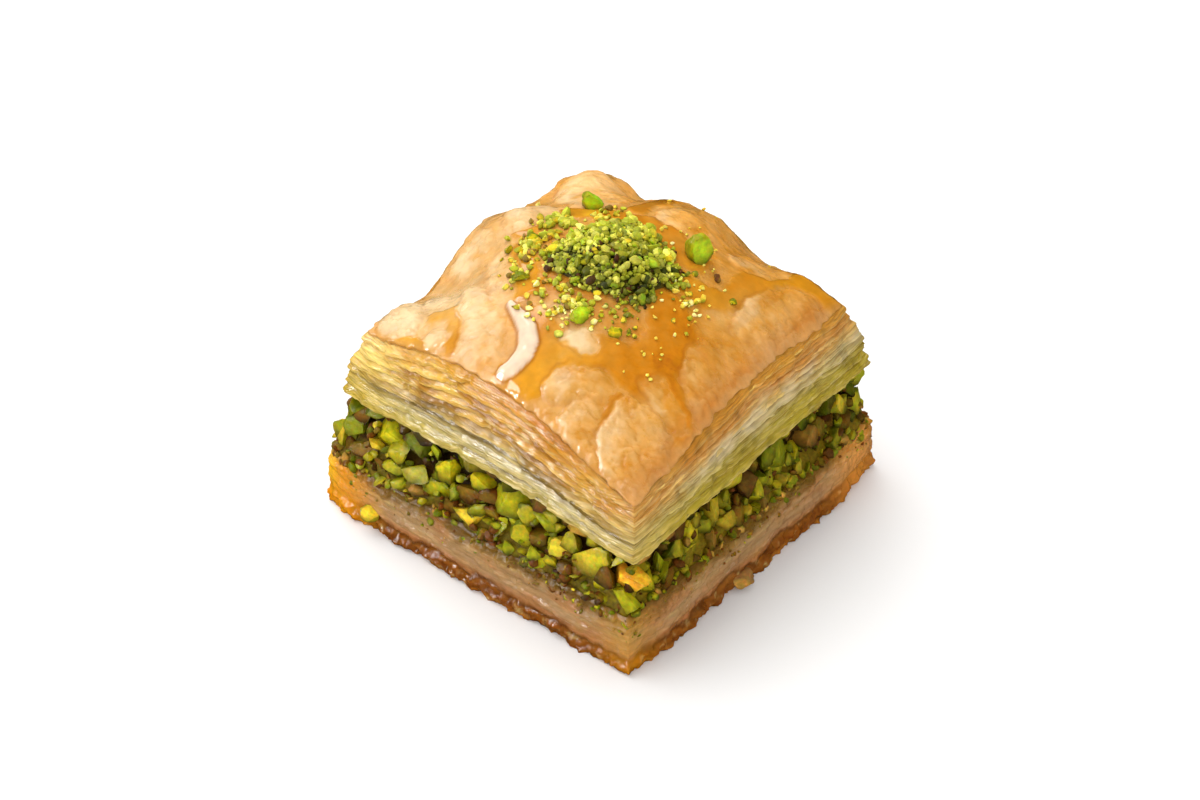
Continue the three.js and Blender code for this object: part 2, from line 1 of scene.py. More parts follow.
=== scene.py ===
# The looks of a square piece of pistachio baklava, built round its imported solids.
#
# Shapes are worked out in millimetres and become metres when their mesh is made. The cut sides
# run along X and Y, and the near corner of the piece is at +X, -Y. A place (u, v) runs from -1
# to 1 across the plan, along X and Y. The sides are numbered front, right, back, left.

import math
from types import SimpleNamespace

import bmesh
import bpy
import numpy as np
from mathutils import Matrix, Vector


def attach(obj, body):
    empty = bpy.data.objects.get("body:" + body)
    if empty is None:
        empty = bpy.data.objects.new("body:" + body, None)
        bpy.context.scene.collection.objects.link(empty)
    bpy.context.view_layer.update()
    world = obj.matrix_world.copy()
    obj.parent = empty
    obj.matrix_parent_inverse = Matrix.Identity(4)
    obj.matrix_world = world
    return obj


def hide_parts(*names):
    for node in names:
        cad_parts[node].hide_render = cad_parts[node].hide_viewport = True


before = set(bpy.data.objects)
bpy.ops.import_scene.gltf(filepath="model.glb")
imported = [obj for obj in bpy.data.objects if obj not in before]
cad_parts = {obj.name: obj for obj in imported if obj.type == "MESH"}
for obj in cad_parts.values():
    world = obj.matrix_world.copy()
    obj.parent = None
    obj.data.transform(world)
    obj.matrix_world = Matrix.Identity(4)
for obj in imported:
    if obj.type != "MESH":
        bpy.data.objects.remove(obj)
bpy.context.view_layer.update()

MM = 0.001

# ---------------------------------------------------------------- driving sizes, as in the part

HALF_SIDE = 25.0
LAYER_GAP = 0.3

# Four values in this order: near, right, back, left corner.
BASE_ROUNDING = (1.6, 4.0, 5.0, 4.6)
NUT_ROUNDING = (2.6, 4.5, 5.0, 4.5)
PASTRY_ROUNDING = (1.0, 2.0, 3.0, 2.0)
BASE_FOOT = ((25.3, -25.2), (25.1, 25.0), (-24.7, 24.9), (-24.7, -24.9))
STACK_FOOT = ((25.4, -24.6), (23.6, 23.6), (-22.6, 23.4), (-21.8, -22.6))
CRUST_EDGE = ((24.0, -22.8), (21.0, 21.2), (-18.6, 19.2), (-19.6, -20.4))
NUT_TOP = (16.6, 15.8, 16.2, 15.8)
CRUST_TOP = (23.6, 24.8, 27.6, 25.8)

# Rises at the middle of a side: front, right, back, left.
NUT_CROWN = (2.0, 1.2, 1.6, 1.5)
CRUST_CROWN = (4.6, 2.6, 3.6, 3.2)

BASE_TOP = 7.5
BASE_CROWN = 0.7
CRUST_DOME = 3.2

# Swellings and hollows of the crust: place, height, two radii.
CRUST_SWELLS = (
    (0.10, 0.78, 0.9, 0.22, 0.22), (-0.80, 0.02, 1.5, 0.22, 0.26), (-0.84, 0.88, 1.9, 0.22, 0.22),
    (0.86, 0.86, 0.8, 0.30, 0.30), (-0.95, -0.42, -3.6, 0.36, 0.28), (0.38, 0.97, -2.2, 0.22, 0.30),
    (-0.50, 0.94, -1.5, 0.14, 0.22), (-0.90, 0.45, -0.9, 0.25, 0.22),
)

VIEW_LEFT = (-0.77, -0.64)   # the way along the plan that lies to the left in the view

HEAP_CENTRE = (2.9, -0.8)
HEAP_RADIUS = 6.7
HEAP_HEIGHT = 1.9

# ---------------------------------------------------------------- small helpers


def mix(a, b, share):
    return a + (b - a) * share


def ease(low, high, value):
    """Runs smoothly from 0 at low to 1 at high."""
    t = np.clip((value - low) / (high - low), 0, 1)
    return t * t * (3 - 2 * t)


def bell(value, middle, width):
    """1 at the middle, and close to 0 two widths away from it."""
    return np.exp(-((value - middle) / width) ** 2)


def along_curve(curve, place):
    """The height of a curve given by its points."""
    return np.interp(place, *zip(*curve))


def srgb(text):
    """A colour written as six hexadecimal digits, as linear light."""
    shares = [int(text[i:i + 2], 16) / 255 for i in (0, 2, 4)]
    return np.array([s / 12.92 if s <= 0.04045 else ((s + 0.055) / 1.055) ** 2.4 for s in shares])


def paint(tint, *coats):
    """Lays colours over a tint. Each coat is (colour, how much of it shows)."""
    for colour, share in coats:
        share = np.clip(np.asarray(share, float), 0, 1)[..., None]
        tint = tint * (1 - share) + colour * share
    return tint


def colour_ramp(value, *stops):
    """Colours along a scale. Each stop is (value, colour)."""
    places = [place for place, _ in stops]
    channels = [np.interp(value, places, [colour[c] for _, colour in stops]) for c in range(3)]
    return np.stack(channels, -1)


# ---------------------------------------------------------------- noise


def scramble(ix, iy, iz, seed):
    """A repeatable number from 0 to 1 for each whole-number place."""
    ix, iy, iz = (np.atleast_1d(c).astype(np.int64).astype(np.uint32) for c in (ix, iy, iz))
    h = ix * np.uint32(0x9E3779B1) ^ iy * np.uint32(0x85EBCA77) ^ iz * np.uint32(0xC2B2AE3D)
    h ^= np.uint32((seed * 0x27D4EB2F) & 0xFFFFFFFF)
    h ^= h >> np.uint32(15)
    h *= np.uint32(0x2C1B3C6D)
    h ^= h >> np.uint32(12)
    h *= np.uint32(0x297A2D39)
    h ^= h >> np.uint32(15)
    return h / 4294967296.0


def noise(x, y, z=0.0, seed=0):
    """Smooth noise from -1 to 1, one bump for each unit of length."""
    x, y, z = np.broadcast_arrays(*(np.asarray(c, float) for c in (x, y, z)))
    floors = [np.floor(c) for c in (x, y, z)]
    fades = []
    for c, low in zip((x, y, z), floors):
        t = c - low
        fades.append(t * t * t * (t * (6 * t - 15) + 10))
    total = np.zeros(x.shape)
    for step in np.ndindex(2, 2, 2):
        weight = 1.0
        for fade, one in zip(fades, step):
            weight = weight * (fade if one else 1 - fade)
        total += weight * scramble(*(low + one for low, one in zip(floors, step)), seed).reshape(x.shape)
    return 2 * total - 1


def layered(x, y, z=0.0, seed=0, octaves=3):
    """Noise with finer noise on it."""
    total, share, scale = 0.0, 1.0, 1.0
    for octave in range(octaves):
        finer = noise(scale * x + 3.7 * octave, scale * y - 1.9 * octave, scale * z, seed + octave)
        total = total + share * finer
        share *= 0.5
        scale *= 2.03
    return total / 1.75


def bumps(place, width, height, seed, octaves=3):
    """Layered noise at places (x, y, z), with bumps of about this width and height."""
    x, y, z = place
    return layered(x / width, y / width, z / height, seed, octaves)


def spots(x, y, width, seed, octaves=3):
    """Layered noise on the flat."""
    return layered(x / width, y / width, 0, seed, octaves)


def creases(x, y, seed=0):
    """Thin lines where noise crosses zero: 1 on a line, 0 away from it."""
    return bell(layered(x, y, 0.0, seed), 0, 0.09)


# ---------------------------------------------------------------- layer surfaces


def blend_corners(values, u, v):
    near, right, back, left = values
    return (near * (1 + u) * (1 - v) + right * (1 + u) * (1 + v)
            + back * (1 - u) * (1 + v) + left * (1 - u) * (1 - v)) / 4


def crown_of(rise, u, v, form):
    front, right, back, left = rise
    along_x = form(u) * (front * (1 - v) + back * (1 + v)) / 2
    along_y = form(v) * (left * (1 - u) + right * (1 + u)) / 2
    return along_x + along_y


def round_form(t):
    return 1 - t * t


def soft_form(t):
    return np.clip(1 - t * t, 0, None) ** 1.7


def base_top_height(x, y):
    u, v = x / HALF_SIDE, y / HALF_SIDE
    return BASE_TOP + BASE_CROWN * (1 - u * u * v * v)


def nut_top_height(x, y):
    u, v = x / HALF_SIDE, y / HALF_SIDE
    return blend_corners(NUT_TOP, u, v) + crown_of(NUT_CROWN, u, v, round_form)


def crust_height(u, v):
    """The crust without its blisters."""
    height = blend_corners(CRUST_TOP, u, v) + crown_of(CRUST_CROWN, u, v, soft_form)
    height = height + CRUST_DOME * (1 - np.abs(u) ** 2.6) * (1 - np.abs(v) ** 2.6)
    for su, sv, rise, ru, rv in CRUST_SWELLS:
        height = height + rise * np.exp(-((u - su) / ru) ** 2 - ((v - sv) / rv) ** 2)
    return height


def plan_place(plan, rounding, u, v):
    """The place (x, y) of (u, v) in a layer with these plan corners and corner roundings."""
    pull = (1 - math.sqrt(0.5)) * blend_corners(rounding, u, v) / HALF_SIDE
    ru, rv = u * (1 - pull * np.abs(v) ** 8), v * (1 - pull * np.abs(u) ** 8)
    return tuple(blend_corners([corner[axis] for corner in plan], ru, rv) for axis in (0, 1))


def outward(u, v):
    """The direction straight out of the piece at the edge place (u, v)."""
    reach = np.hypot(u ** 9, v ** 9)
    return u ** 9 / reach, v ** 9 / reach


def unevenness(turn, seed):
    """An uneven line round the piece, about -1 to 1: turn runs 0 to 1 once round."""
    angle = 2 * math.pi * turn
    return (0.5 * np.sin(7 * angle + 1.7 * seed) + 0.32 * np.sin(13 * angle + 2.9 * seed)
            + 0.28 * np.sin(23 * angle + 4.3 * seed))


def square_rim(steps):
    """The places (u, v) round the unit square, counter-clockwise from its left near corner."""
    run = -1 + 2 * np.arange(steps) / steps
    one = np.ones(steps)
    return np.concatenate([run, one, -run, -one]), np.concatenate([-one, run, one, -run])


def side_place(side, t):
    """The rim place at t, from -1 to 1 along a side."""
    t, one = np.float64(t), np.float64(1)
    return ((t, -one), (one, t), (-t, one), (-one, -t))[side]


def side_shares(u, v):
    """How much a rim place belongs to the front, right, back and left side."""
    parts = np.stack([np.clip(-v, 0, 1), np.clip(u, 0, 1), np.clip(v, 0, 1), np.clip(-u, 0, 1)]) ** 12
    return parts / parts.sum(0)


# ---------------------------------------------------------------- closed surfaces


class Shell:
    """Rows of points and the faces between them, with values kept for each point."""

    def __init__(self):
        self.points, self.values, self.faces, self.count = [], {}, [], 0

    def row(self, x, y, z, **values):
        points = np.stack(np.broadcast_arrays(x, y, z), -1).reshape(-1, 3)
        values.setdefault("level", points[:, 2])
        self.points.append(points)
        for name, value in values.items():
            value = np.asarray(value, float)
            width = (len(points), 3) if value.shape[-1:] == (3,) else (len(points),)
            self.values.setdefault(name, []).append(np.broadcast_to(value, width))
        first = self.count
        self.count += len(points)
        return np.arange(first, self.count)

    def bands(self, *rows):
        """Faces between closed rows, each of them above or inside the one before it."""
        for first, second in zip(rows, rows[1:]):
            self.faces.append(np.stack([first, np.roll(first, -1), np.roll(second, -1), second], 1))

    def fan(self, row, apex):
        self.faces.append(np.stack([row, np.roll(row, -1), np.full(len(row), apex[0])], 1))

    def cap(self, outer, ring_at, rings, from_below, **values):
        """Closes a row with smaller rings and a middle point. ring_at(share) gives a ring."""
        for share in rings:
            inner = self.row(*ring_at(share), **values)
            self.bands(*((inner, outer) if from_below else (outer, inner)))
            outer = inner
        middle = self.row(*(np.atleast_1d(c)[:1] for c in ring_at(0.0)), **values)
        self.fan(outer[::-1] if from_below else outer, middle)


def make_piece(name, shell, material, node=None, crisp=None):
    """Makes a shell a mesh in the scene that rides on the part and stands for a node.

    Edges that turn by more than crisp degrees are shaded as edges.
    """
    mesh = bpy.data.meshes.new(name)
    points = np.concatenate(shell.points) * MM
    mesh.vertices.add(len(points))
    mesh.vertices.foreach_set("co", points.astype(np.float32).ravel())
    sizes = np.concatenate([np.full(len(f), f.shape[1]) for f in shell.faces])
    corners = np.concatenate([f.ravel() for f in shell.faces])
    mesh.loops.add(len(corners))
    mesh.loops.foreach_set("vertex_index", corners.astype(np.int32))
    mesh.polygons.add(len(sizes))
    mesh.polygons.foreach_set("loop_start", (np.cumsum(sizes) - sizes).astype(np.int32))
    mesh.polygons.foreach_set("use_smooth", np.ones(len(sizes), bool))
    for value_name, parts in shell.values.items():
        value = np.concatenate(parts)
        kind, field = "FLOAT", "value"
        if value.ndim == 2:
            kind, field = "FLOAT_COLOR", "color"
            value = np.concatenate([value, np.ones((len(value), 1))], 1)
        layer = mesh.attributes.new(value_name, kind, "POINT")
        layer.data.foreach_set(field, value.astype(np.float32).ravel())
    mesh.update(calc_edges=True)
    mesh.validate()
    if crisp:
        mesh.set_sharp_from_angle(angle=math.radians(crisp))
    mesh.materials.append(material)
    piece = bpy.data.objects.new(name, mesh)
    bpy.context.scene.collection.objects.link(piece)
    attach(piece, "root")
    if node:
        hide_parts(node)


# ---------------------------------------------------------------- materials


def food_material(name, mottle, rough, shine, coat, glow, grain, fine, hue=0.0, wet_bump=0.12, stretch=1.0):
    """A food surface. Its colour is the mesh's own tint, mottled in shade and hue by noise, and
    its roughness runs from dull to wet by the mesh's own gloss. Wet places have wet_bump of the
    bumps. glow is (weight, depth, colour) of the light below the surface. mottle, grain and fine
    are (strength, size), in millimetres where they are bumps. stretch draws noise out along the
    sheets of a stack.
    """
    material = bpy.data.materials.new(name)
    material.use_nodes = True
    tree = material.node_tree

    def put(node, values):
        """Sets a node's inputs, each to a number or from another node."""
        for key, value in values.items():
            if isinstance(value, bpy.types.NodeSocket):
                tree.links.new(value, node.inputs[key])
            else:
                node.inputs[key].default_value = value

    def make(kind, values, operation=None, output=0):
        node = tree.nodes.new("ShaderNode" + kind)
        if operation:
            node.operation = operation
        put(node, values)
        return node.outputs[output]

    def noise_at(place, size, detail, roughness=0.55, output="Fac"):
        values = {"Vector": place, "Scale": 1 / size, "Detail": detail, "Roughness": roughness}
        return make("TexNoise", values, output=output)

    def spread(value, low, high, from_low=0.3, from_high=0.7):
        ends = {"From Min": from_low, "From Max": from_high, "To Min": low, "To Max": high}
        return make("MapRange", {"Value": value, **ends})

    def mesh_value(value_name, output="Fac"):
        node = tree.nodes.new("ShaderNodeAttribute")
        node.attribute_name = value_name
        return node.outputs[output]

    plan = make("VectorMath", {0: make("TexCoord", {}, output="Object"), 1: (1 / MM, 1 / MM, 0)}, "MULTIPLY")
    place = make("VectorMath", {0: plan, 1: make("CombineXYZ", {"Z": mesh_value("level")})}, "ADD")
    leaves = make("VectorMath", {0: place, 1: (1, 1, stretch)}, "MULTIPLY")

    patches = spread(noise_at(leaves, mottle[1], 5), 1 - mottle[0], 1 + mottle[0])
    shade = make("VectorMath", {0: mesh_value("tint", "Color"), "Scale": patches}, "SCALE")
    swing = (hue, 0.5 * hue, 0.5 * hue)
    hues = make("VectorMath", {0: noise_at(leaves, mottle[1] * 0.8, 4, output="Color"), 1: swing,
                               2: tuple(1 - 0.5 * s for s in swing)}, "MULTIPLY_ADD")
    gloss = mesh_value("gloss")
    uneven = spread(noise_at(place, grain[1] * 3, 3), 0.75, 1.3)
    dry = spread(gloss, 1, wet_bump, 0.4, 1)
    coarse = make("Bump", {"Distance": grain[0] * MM, "Height": noise_at(leaves, grain[1], 4, 0.6),
                           "Strength": dry})
    normal = make("Bump", {"Distance": fine[0] * MM, "Height": noise_at(place, fine[1], 3), "Strength": dry,
                           "Normal": coarse})
    shader = tree.nodes["Principled BSDF"]
    put(shader, {
        "Base Color": make("VectorMath", {0: shade, 1: hues}, "MULTIPLY"),
        "Roughness": make("Math", {0: spread(gloss, *rough, 0, 1), 1: uneven}, "MULTIPLY"),
        "Normal": normal,
        "Coat Normal": normal,
        "Coat Weight": spread(gloss, 0, coat, 0.15, 0.9),
        "Coat Roughness": 0.10,
        "Specular IOR Level": shine,
        "Subsurface Weight": glow[0],
        "Subsurface Scale": glow[1] * MM,
        "Subsurface Radius": glow[2],
    })
    return material


CRUST_MATERIAL = food_material(
    "golden_crust", mottle=(0.12, 1.6), rough=(0.40, 0.14), shine=0.45, coat=0.9,
    glow=(0.10, 0.8, (1.0, 0.45, 0.16)), grain=(0.07, 0.55), fine=(0.02, 0.16))
SHEET_MATERIAL = food_material(
    "phyllo_sheets", mottle=(0.24, 2.4), rough=(0.50, 0.18), shine=0.22, coat=1.0,
    glow=(0.15, 0.4, (1.0, 0.62, 0.25)), grain=(0.12, 1.6), fine=(0.02, 0.12), hue=0.2, wet_bump=0.35,
    stretch=9.0)
BASE_MATERIAL = food_material(
    "soaked_pastry", mottle=(0.16, 2.4), rough=(0.34, 0.10), shine=0.5, coat=1.0,
    glow=(0.30, 1.2, (1.0, 0.50, 0.20)), grain=(0.12, 1.2), fine=(0.06, 0.22), hue=0.3, wet_bump=0.6,
    stretch=5.0)
NUT_MATERIAL = food_material(
    "chopped_pistachio", mottle=(0.25, 0.7), rough=(0.50, 0.25), shine=0.20, coat=0.45,
    glow=(0.08, 0.6, (0.5, 0.8, 0.1)), grain=(0.14, 0.5), fine=(0.05, 0.16), hue=1.1, wet_bump=0.5)
PASTE_MATERIAL = food_material(
    "nut_paste", mottle=(0.30, 0.6), rough=(0.70, 0.35), shine=0.12, coat=0.15,
    glow=(0.05, 0.4, (0.6, 0.7, 0.1)), grain=(0.20, 0.5), fine=(0.05, 0.15), hue=0.8)
CRUMB_MATERIAL = food_material(
    "pistachio_crumb", mottle=(0.20, 0.5), rough=(0.75, 0.35), shine=0.35, coat=0.25,
    glow=(0.10, 0.4, (0.6, 0.8, 0.15)), grain=(0.10, 0.25), fine=(0.04, 0.1), hue=0.5)

# ---------------------------------------------------------------- crust

CRUST_STEPS = 240
CRUST_SPAN = 21.0            # millimetres from the middle of the crust to its edge, for distances
CRUST_LIP = 0.45             # thickness of the crust at its edge
CRUST_THICKNESS = 1.4
CRUST_RINGS = (0.93, 0.7, 0.4)

CREAM = srgb("f0cf9c")
PEACH = srgb("dca252")
GOLD = srgb("d08c2c")
AMBER = srgb("cb7c10")
RUST = srgb("9c4c14")
PINK_CRUST = srgb("b97245")
SYRUP_YELLOW = srgb("eaa81c")
# Colour of the painted reflection on the run of syrup.
RIVULET_PAINTED_REFLECTION = srgb("f6dcc0")
# Painted highlight on the blisters' ridges that face the light.
RIDGE_HIGHLIGHT = srgb("f2dcae")

# In the next lists a place is in hundredths of the way from the crust's middle to its edge.
#
# Raised blisters: outline, height in mm, tone from pale (0) to brown (1), gloss, and how strong
# the painted cream highlight on the ridge along the left edge is.
BLISTERS = (
    # round the near corner and along the front
    (((25, -86), (25, -75), (31, -67), (41, -60), (51, -59), (57, -65), (54, -73), (45, -81), (37, -87),
      (30, -90)), 0.75, 0.45, 0.60, 0.3),
    (((43, -83), (49, -75), (56, -72), (61, -80), (65, -87), (72, -96), (64, -102), (50, -102), (42, -94)),
     0.60, 0.40, 0.55, 1.0),
    (((60, -67), (64, -57), (73, -51), (83, -53), (94, -60), (102, -72), (103, -86), (98, -100), (84, -100),
      (71, -95), (64, -88), (61, -77)), 0.85, 0.42, 0.50, 1.0),
    (((62, -48), (66, -37), (78, -38), (92, -44), (100, -50), (92, -57), (80, -54), (70, -51)),
     0.35, 0.48, 0.60, 0.5),
    (((-64, -46), (-42, -52), (-24, -64), (-10, -74), (-6, -88), (0, -100), (-14, -104), (-33, -103),
      (-37, -86), (-42, -78), (-56, -68)), 0.50, 0.27, 0.35, 0.4),
    (((-60, -94), (-58, -85), (-48, -80), (-42, -84), (-44, -94), (-52, -100)), 0.40, 0.05, 0.8, 0.6),
    (((-90, -50), (-74, -53), (-66, -66), (-74, -72), (-88, -60)), 0.35, 0.10, 0.5, 0.5),
    (((-100, -98), (-104, -70), (-92, -58), (-72, -76), (-68, -92), (-80, -103)), 0.70, 0.04, 0.5, 0.3),
    # right side
    (((68, -10), (75, 3), (86, 0), (97, -10), (102, -22), (96, -38), (81, -34), (72, -22)),
     0.45, 0.50, 0.35, 0.4),
    (((75, 6), (82, 14), (93, 12), (102, 2), (98, -7), (86, 3)), 0.30, 0.50, 0.35, 0.3),
    (((74, 18), (84, 19), (97, 14), (103, 43), (103, 76), (86, 87), (77, 76), (67, 60), (67, 36)),
     0.45, 0.52, 0.30, 0.5),
    # middle and back
    (((28, -44), (20, -49), (14, -57), (23, -65), (35, -60), (37, -50)), 0.30, 0.02, 0.85, 0.2),
    (((-66, -34), (-62, -20), (-42, -27), (-29, -50), (-34, -60), (-52, -42)), 0.35, 0.26, 0.35, 0.3),
    (((-92, 55), (-94, 92), (-70, 94), (-36, 74), (-30, 44), (-48, 26)), 0.55, 0.36, 0.35, 0.5),
    (((-12, 50), (-10, 84), (14, 82), (30, 70), (26, 46)), 0.40, 0.50, 0.45, 0.5),
    (((-84, -2), (-80, 34), (-60, 40), (-46, 16), (-56, -10)), 0.40, 0.30, 0.35, 0.3),
    (((36, 62), (38, 94), (66, 96), (70, 78), (56, 60)), 0.40, 0.48, 0.35, 0.4),
    (((-96, -30), (-94, -4), (-78, -6), (-70, -28), (-80, -40)), 0.35, 0.25, 0.35, 0.3),
)

# Syrup that stands in the valleys: a line through places, and its half width in mm.
SYRUP_RUNS = (
    (((2, -98), (14, -92), (20, -76), (12, -68), (-2, -60)), 2.2),
    (((20, -76), (30, -57), (44, -48), (58, -50)), 1.8),
    (((56, -46), (62, -30), (60, -14), (48, -6)), 2.6),
    (((62, -32), (80, -42), (94, -50)), 1.5),
    (((60, -66), (62, -82), (70, -100)), 0.8),
    (((-62, -78), (-50, -70), (-38, -92)), 1.1),
    (((-48, -16), (-34, -30), (-20, -46)), 1.4),
    (((-92, -97), (-74, -99), (-56, -97), (-50, -90)), 1.0),
    (((-20, 30), (2, 44), (30, 36)), 2.4),
    (((62, 40), (60, 70), (74, 90), (96, 94)), 1.6),
    (((-20, 52), (-22, 86)), 1.2),
    (((-56, -4), (-50, 20), (-30, 34)), 1.6),
    (((40, 16), (56, 22), (64, 34)), 1.5),
)

# The run of syrup on the left of the crust, painted pale as a reflection of the light: places, and its half
# widths in mm.
RIVULET = ((-22, -59), (-12, -63), (-3, -67), (3, -73), (5, -79), (4.5, -85), (3.5, -90), (2, -93))
RIVULET_WIDTHS = (0.45, 0.80, 1.10, 1.25, 1.20, 1.10, 1.05, 0.95)

# Where the standing syrup is thin and shines yellow: place, radius, share, in hundredths.
YELLOW_SYRUP = (
    (14, -90, 20, 55), (26, -60, 14, 35), (-52, -76, 20, 30), (-70, -92, 14, 50),
    (-30, -34, 20, 40), (70, 90, 30, 35), (-40, 20, 25, 45), (50, 22, 16, 30),
)

# Where the crust is browner or paler than elsewhere: place, radius, change, in hundredths.
# The pale spots at (-62, -62), (4, -45) and (-4, -52) are painted highlights.
CRUST_TONES = (
    (-80, -75, 35, -35), (-45, -60, 35, -16), (10, -45, 20, -10), (70, -40, 25, 14),
    (62, -20, 30, 10), (55, -95, 12, 12), (85, 85, 30, 2), (25, 80, 30, 8), (80, -80, 22, 7),
    (14, -92, 12, 14), (-20, -85, 20, 5), (35, 30, 35, 3), (-70, 75, 35, -8), (-86, 0, 30, -26),
    (-62, -62, 18, -15), (40, -72, 20, -10), (95, 30, 25, -6), (-12, -38, 12, 22), (12, -34, 12, 20),
    (24, -55, 9, -30), (-35, -80, 22, -8), (4, -45, 5, -45), (-4, -52, 4, -40),
)


def line_distance(px, py, line):
    """Distance in mm from places to a line through (u, v) places, and how far along it that is."""
    line = line * CRUST_SPAN
    best, along = np.full(px.shape, 1e9), np.zeros(px.shape)
    for k, ((ax, ay), (bx, by)) in enumerate(zip(line, line[1:])):
        t = np.clip(((px - ax) * (bx - ax) + (py - ay) * (by - ay)) / ((bx - ax) ** 2 + (by - ay) ** 2), 0, 1)
        away = np.hypot(px - ax - t * (bx - ax), py - ay - t * (by - ay))
        along = np.where(away < best, k + t, along)
        best = np.minimum(best, away)
    return best, along


def depth_inside(px, py, outline):
    """Distance in mm from an outline in (u, v) with its corners cut, positive inside it."""
    for _ in range(2):
        following = np.roll(outline, -1, 0)
        outline = np.stack([0.75 * outline + 0.25 * following, 0.25 * outline + 0.75 * following], 1)
        outline = outline.reshape(-1, 2)
    closed = np.concatenate([outline, outline[:1]])
    away, _ = line_distance(px, py, closed)
    inside = np.zeros(px.shape, bool)
    for (ax, ay), (bx, by) in zip(closed[:-1] * CRUST_SPAN, closed[1:] * CRUST_SPAN):
        if ay != by:
            inside ^= ((ay > py) != (by > py)) & (px < (bx - ax) * (py - ay) / (by - ay) + ax)
    return np.where(inside, away, -away)


def crust_relief(u, v):
    """Height over the plain crust in mm, and the masks that colour it, at places (u, v)."""
    mx, my = u * CRUST_SPAN, v * CRUST_SPAN
    px = mx + 0.70 * spots(mx, my, 2.6, 11) + 0.20 * noise(mx / 0.7, my / 0.7, 0, 12)
    py = my + 0.70 * spots(mx, my, 2.6, 13) + 0.20 * noise(mx / 0.7, my / 0.7, 0, 14)
    to_edge = CRUST_SPAN * (1 - np.maximum(np.abs(u), np.abs(v)))

    wet = np.zeros(u.shape)
    for line, half_width in SYRUP_RUNS:
        away, _ = line_distance(px, py, np.array(line) / 100)
        wet = np.maximum(wet, 1 - ease(0.45 * half_width, 1.45 * half_width, away))

    plateau, blister_rise, ridge, outline = (np.zeros(u.shape) for _ in range(4))
    stain = ease(0.05, 0.55, spots(px, py, 2.2, 24))
    tone, gloss = np.full(u.shape, 0.56), np.full(u.shape, 0.56)
    for points, height, own_tone, own_gloss, own_ridge in BLISTERS:
        points = np.array(points) / 100
        depth = depth_inside(px, py, points)
        ax, ay = px - np.mean(points, 0)[0] * CRUST_SPAN, py - np.mean(points, 0)[1] * CRUST_SPAN
        # The side of each blister toward the view's left, where the light comes from. Its ridge and the crust
        # just inside it are painted paler, as painted light.
        side_toward_light = np.clip((VIEW_LEFT[0] * ax + VIEW_LEFT[1] * ay) / (np.hypot(ax, ay) + 0.1), 0, 1)
        rise = height * (0.62 * ease(-0.5, 0.8, depth) + 0.38 * ease(0.3, 3.2, depth))
        blister_rise = np.maximum(blister_rise, rise)
        ridge = np.maximum(ridge, own_ridge * side_toward_light ** 1.5 * bell(depth, 0.45, 0.50))
        outline = np.maximum(outline, bell(depth, -0.20, 0.18) * (0.35 + 0.65 * side_toward_light))
        own_tone = own_tone + 0.26 * stain - 0.24 * side_toward_light * bell(depth, 1.1, 1.1)
        tone = mix(tone, own_tone, ease(-0.6, 1.5, depth) * (0.70 + 0.30 * side_toward_light))
        gloss = mix(gloss, own_gloss, ease(-0.3, 0.5, depth))
        plateau = np.maximum(plateau, ease(-0.3, 0.6, depth))
    wet = wet * (1 - 0.92 * plateau)
    pool = 0.28 * ease(0.05, 0.8, wet)

    folds = layered(mx / 5.0 + 0.4 * my / 5.0, my / 3.0, 0, 21)
    smooth_back = 1 - 0.85 * ease(0.0, 0.5, v)
    wrinkles = creases(px / 2.6, py / 1.6, 23) * smooth_back
    veins = creases(px / 1.2, py / 0.7, 25) * smooth_back
    streaks = creases((0.8 * px + 0.6 * py) / 7, (0.8 * py - 0.6 * px) / 1.3, 38) * smooth_back
    rolled = ease(0.82, 0.97, u) * creases(px / 0.8, py / 6, 39)
    leather = layered(mx / 0.75, my / 0.45, 0, 29, 2)
    dry = 1 - ease(0.1, 0.8, wet)
    from_heap = np.hypot(mx - 1.05 * HEAP_CENTRE[0], my - 1.05 * HEAP_CENTRE[1])
    calm = 1 - 0.7 * np.exp(-(from_heap / HEAP_RADIUS) ** 4)
    relief = 0.34 * folds * (0.5 + 0.5 * plateau) - 0.15 * wrinkles * (0.4 + 0.6 * plateau) - 0.05 * veins
    relief = relief - 0.06 * streaks - 0.16 * rolled
    relief = dry * (relief + 0.075 * leather + 0.05 * spots(mx, my, 0.9, 27)) + blister_rise
    relief = calm * (relief + 0.16 * ridge * (1 + 0.6 * spots(mx, my, 0.8, 28)))

    away, along = line_distance(mx, my, np.array(RIVULET) / 100)
    half = np.interp(along, np.arange(len(RIVULET)), RIVULET_WIDTHS)
    run = np.clip(1 - (away / half) ** 2, 0, 1)
    rivulet = ease(0.0, 0.25, run)
    # Painted shade: a dark line just outside the run's edge, where its meniscus bends the light.
    meniscus_shade = bell(away - half, 0.12, 0.16)

    height = np.maximum(relief, pool) + 0.05 * bell(relief, pool, 0.07) * (wet > 0.1)
    height = mix(height, height * 0.3 + 0.2 + 0.5 * np.sqrt(run), rivulet)
    height = height * ease(-0.4, 1.2, to_edge)
    return SimpleNamespace(
        height=height, wet=wet, plateau=plateau, ridge=ridge, outline=outline, tone=tone, gloss=gloss,
        wrinkles=wrinkles, veins=veins, leather=leather, streaks=streaks, rolled=rolled, rivulet=rivulet,
        meniscus_shade=meniscus_shade, to_edge=to_edge)


